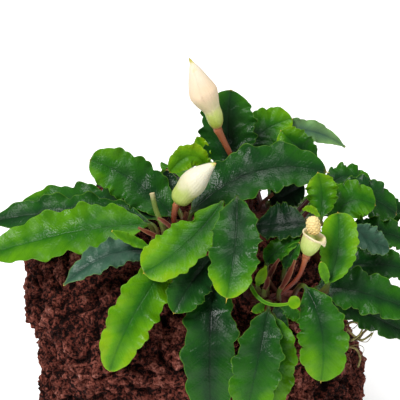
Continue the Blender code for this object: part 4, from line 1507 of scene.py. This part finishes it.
@dataclass
class OpenFlower(Flower):
    """A flower whose spathe has dropped: a cup with a curled rim, around its pollen club."""

    club_axis: tuple[Vector, ...] = ()
    club_radii_mm: tuple[float, ...] = ()
    flap_at: float = 0.0

    # Share of the axis and radius in millimetres, up the outside, over the rim and down inside
    RIM = ((0.97, 3.1), (1.0, 3.3), (1.04, 3.4), (1.08, 3.3), (1.08, 3.05), (1.03, 2.8), (0.9, 2.5))
    INSIDE = ((0.7, 2.3), (0.45, 1.9), (0.35, 1.2), (0.3, 0.4))
    CUP_STEPS = 24
    CLUB_STEPS = 60
    CLUB_ROWS = 9
    CLUB_COLUMNS = 8

    def build_cup(self, material: bpy.types.Material) -> None:
        """Makes the cup with its rolled rim and the flap that hangs from it."""
        profile = []
        for index in range(self.CUP_STEPS):
            share = index / self.CUP_STEPS * 0.94
            profile.append((share, through(self.radii_mm, share), 0.0))
        profile += [(share, radius, 1.0) for share, radius in self.RIM]
        profile += [(share, radius, 0.0) for share, radius in self.INSIDE]
        part = np.arange(self.SIDES) / self.SIDES
        away = np.abs((part - self.flap_at + 0.5) % 1 - 0.5)
        flap = np.exp(-((away / 0.075) ** 2))
        rings, places = [], []
        for share, radius, rim in profile:
            outward = rim * (0.1 * np.sin(FULL_TURN * 2 * part + 1) + 0.5 * flap * (radius > 3.2))
            lift = rim * (0.14 * np.sin(FULL_TURN * 3 * part) - 5.0 * flap * max(0, radius - 3.1))
            rings.append(self.ring(share, radius + outward, lift))
            place = np.full(self.SIDES, min(share, 1.0))
            places.append(np.stack((place, part, np.zeros(self.SIDES)), axis=-1))
        skin = Skin(f"{self.name}_flower_cup", np.array(rings))
        skin.store("petal_place", np.array(places))
        skin.finish(material, Slot.KETTLE, f"flower_{self.name}")

    def build_club(self, material: bpy.types.Material) -> None:
        """Makes the club, studded with rows of small round pollen sacs."""
        part = np.arange(self.SIDES) / self.SIDES
        cup_axis, self.axis = self.axis, self.club_axis
        rings, places = [], []
        for index in range(self.CLUB_STEPS + 1):
            share = index / self.CLUB_STEPS
            radius = through(self.club_radii_mm, share)
            row = share * self.CLUB_ROWS
            offset = 0.5 * (int(row) % 2)
            across = np.cos(FULL_TURN * (part * self.CLUB_COLUMNS + offset)) * 0.5 + 0.5
            bump = 0.34 * math.sin(math.pi * (row % 1)) * across**0.6
            dome = math.sqrt(max(0.0, 1 - max(0, share - 0.9) ** 2 / 0.1**2))
            rings.append(self.ring(share, (radius + bump) * max(dome, 0.08), np.zeros(self.SIDES)))
            place = np.full(self.SIDES, share)
            places.append(np.stack((place, part, np.zeros(self.SIDES)), axis=-1))
        self.axis = cup_axis
        skin = Skin("pollen_club", np.array(rings))
        skin.store("petal_place", np.array(places))
        skin.finish(material, Slot.SPADIX, "spadix")


TALL = Flower(
    "tall", ("back", 0.24, 0.0), (seen(248, 200, -2), seen(239, 172, 2), seen(218, 130, 1)), (0.68, 1.25), 9,
    (seen(217, 127, 1), seen(213, 112, 1), seen(203, 92, 1), seen(193, 66, 1), seen(189, 58, 1)),
    (1.35, 2.05, 2.35, 2.45, 3.4, 4.0, 3.0, 1.7, 0.65, 0.35, 0.12), seam_at=0.55, blush=0.5,
)
WHITE = Flower(
    "white", ("left", 0.56, -1.2), (seen(174, 221, -20), seen(176, 206, -20)), (0.7, 1.05), 4,
    (seen(177, 203, -20), seen(186, 191, -20), seen(199, 177, -20), seen(209, 168, -20),
     seen(216, 163, -20)),
    (1.1, 2.3, 2.9, 3.05, 3.3, 3.6, 3.5, 3.1, 2.6, 2.1, 1.65, 1.25, 0.85, 0.45, 0.12), seam_at=0.9,
)
OPEN = OpenFlower(
    "open", ("front", 0.37, -0.6), (seen(297, 279, -38), seen(306, 257, -37)), (0.58, 1.15), 8,
    (seen(307, 254, -37), seen(310, 245, -37), seen(314, 236, -37)),
    (1.25, 1.9, 2.5, 2.7, 2.8, 3.1),
    club_axis=(seen(314.5, 233, -37), seen(313.5, 226, -37), seen(312, 217, -37)),
    club_radii_mm=(1.1, 1.45, 1.6, 1.7, 1.65, 1.35, 0.65), flap_at=0.68,
)

# Roots: thickness in millimetres and points, with the nodes that they stand for
ROOTS = {
    "root_dark": (0.45, (seen(346, 339, -9), seen(353, 340, -8), seen(359, 338, -8),
                         seen(364, 332, -8), seen(370, 327, -9))),
    "root_green": (0.4, (seen(347, 329, -16), seen(353, 335, -15), seen(362, 340, -15),
                         seen(373, 333, -14))),
    "root_loop": (0.35, (seen(346, 325, -19), seen(353, 322, -20), seen(362, 326, -20),
                         seen(360, 334, -20), seen(351, 341, -19))),
    "root_low": (0.4, (seen(346, 346, -19), seen(356, 349, -20), seen(360, 358, -20),
                       seen(358, 367, -20))),
}
ROOTLETS = (
    (0.16, (seen(352, 322, -18), seen(362, 321, -15), seen(370, 326, -14), seen(371, 335, -14))),
    (0.14, (seen(357, 340, -16), seen(366, 342, -14), seen(371, 337, -13), seen(374, 331, -13))),
    (0.16, (seen(346, 332, -18), seen(354, 328, -18), seen(360, 322, -17), seen(363, 318, -16))),
    (0.13, (seen(350, 346, -19), seen(359, 345, -18), seen(364, 349, -18), seen(361, 357, -19))),
)


def build_roots(finishes: Finishes) -> None:
    """Makes the loose roots over the stone's right shoulder, and the finest ones between them."""
    steps = 48
    for name, (radius, line) in ROOTS.items():
        points = [through(line, index / (steps - 1)) for index in range(steps)]
        radii = []
        for index, point in enumerate(points):
            knob = 1 + 0.25 * noise.noise(point / (1.6 * MM))
            radii.append(radius * MM * knob * (1 - 0.3 * index / steps))
        skin = rod(f"loose_{name}", points, radii, 12)
        skin.finish(finishes.dark_root if name == "root_dark" else finishes.root, Slot.ROOT, name)
    for number, (radius, line) in enumerate(ROOTLETS, 1):
        points = [through(line, index / (steps - 1)) for index in range(steps)]
        radii = [radius * MM * (1 - 0.6 * index / steps) for index in range(steps)]
        rod(f"rootlet_{number}", points, radii, 8).finish(finishes.root, Slot.ROOT)


def build_cut_stem(finishes: Finishes, foot: Vector) -> None:
    """Makes the stem that a leaf was cut from, up to its pale flat end."""
    line = [foot - Vector((0, 0, 1.3 * MM)), *CUT_STEM]
    points = [through(line, index / 39) for index in range(40)]
    radii = [0.72 * MM * (1 + 0.25 * (1 - index / 39) ** 3) for index in range(40)]
    points.append(points[-1] + (points[-1] - points[-2]) * 0.2)
    radii.append(0.5 * MM)
    skin = rod("cut_leaf_stem", points, radii, 18)
    skin.finish(finishes.olive_stem, Slot.LEAF_BRIGHT, "leaf_cut_stem")


def build_bare_stems(finishes: Finishes) -> None:
    """Makes the leaf stems whose blades are hidden."""
    for name, line, radius in BARE_STEMS:
        points = [through(line, index / 15) for index in range(16)]
        rod(name, points, [radius * MM] * 16, 14).finish(finishes.stem, Slot.STEM)


@dataclass(frozen=True)
class SoftLight:
    """A wide lamp that shines at the plant."""

    name: str
    place: tuple[float, float, float]
    size: float
    power: float

    def build(self, target: Vector) -> None:
        """Hangs the lamp so that it faces the target."""
        data = bpy.data.lights.new(self.name, "AREA")
        data.shape = "DISK"
        data.size = self.size
        data.energy = self.power
        lamp = bpy.data.objects.new(self.name, data)
        lamp.location = self.place
        lamp.rotation_euler = (target - lamp.location).to_track_quat("-Z", "Y").to_euler()
        bpy.context.scene.collection.objects.link(lamp)


@dataclass(frozen=True)
class Studio:
    """The pale floor, the soft lights and the camera."""

    floor_half: float = 3.0
    world: float = 0.2
    lamps: tuple[SoftLight, ...] = (
        SoftLight("key", (-0.3, -0.42, 0.66), 0.26, 5.8),
        SoftLight("fill", (0.55, -0.35, 0.3), 0.5, 0.7),
        SoftLight("top", (0.1, 0.2, 0.75), 0.4, 2.6),
    )

    def build(self) -> None:
        """Sets the scene up."""
        half = self.floor_half
        data = bpy.data.meshes.new("floor")
        corners = [(-half, -half, 0), (half, -half, 0), (half, half, 0), (-half, half, 0)]
        data.from_pydata(corners, [], [(0, 1, 2, 3)])
        floor = bpy.data.objects.new("floor", data)
        floor.location.z = -0.1 * MM
        bpy.context.scene.collection.objects.link(floor)
        material = bpy.data.materials.new("pale_floor")
        material.use_nodes = True
        shader = material.node_tree.nodes["Principled BSDF"]
        shader.inputs["Base Color"].default_value = (0.95, 0.95, 0.95, 1)
        shader.inputs["Roughness"].default_value = 0.9
        shader.inputs["Emission Color"].default_value = (1, 1, 1, 1)
        shader.inputs["Emission Strength"].default_value = 0.45
        data.materials.append(material)
        world = bpy.data.worlds.new("soft_room")
        world.use_nodes = True
        world.node_tree.nodes["Background"].inputs["Strength"].default_value = self.world
        world.node_tree.nodes["Background"].inputs["Color"].default_value = (1, 1, 1, 1)
        bpy.context.scene.world = world
        bpy.context.scene.view_settings.view_transform = "Standard"
        for lamp in self.lamps:
            lamp.build(Vector((0, 0, 0.07)))
        VIEW.place_camera()


def main() -> None:
    """Builds the object's pieces in order and dresses them."""
    logging.basicConfig(level=logging.INFO, format="%(message)s")
    Studio().build()
    finishes = Finishes()
    Stone(finishes.stone).build()
    ground = Ground([surface_tree("stone")])
    rhizomes = {name: Rhizome(name, ground) for name in Rhizome.ROUTES_MM}
    for name, rhizome in rhizomes.items():
        ground.trees.append(surface_tree(f"rhizome_{name}"))
        rhizome.build(finishes.stem)
        LOG.info("creeping stem: %s", name)
    for leaf in LEAVES:
        leaf.build(finishes.leaves[leaf.slot], rhizomes, ground, f"leaf_{leaf.name}")
        LOG.info("leaf: %s", leaf.name)
    for leaf in SPROUTS:
        leaf.build(finishes.leaves[leaf.slot], rhizomes, ground)
        LOG.info("small leaf or scale: %s", leaf.name)
    build_cut_stem(finishes, rhizomes["left"].foot(0.4, 0.2, ground))
    build_bare_stems(finishes)
    for flower in (TALL, WHITE, OPEN):
        rhizome, share, aside = flower.foot
        flower.build_stalk(finishes.stalk, rhizomes[rhizome].foot(share, aside, ground))
        LOG.info("flower: %s", flower.name)
    TALL.build_spathe(finishes.peach)
    WHITE.build_spathe(finishes.white)
    OPEN.build_cup(finishes.kettle)
    OPEN.build_club(finishes.spadix)
    build_roots(finishes)
    LOG.info("roots: %d", len(ROOTS) + len(ROOTLETS))


if __name__ == "__main__":
    main()
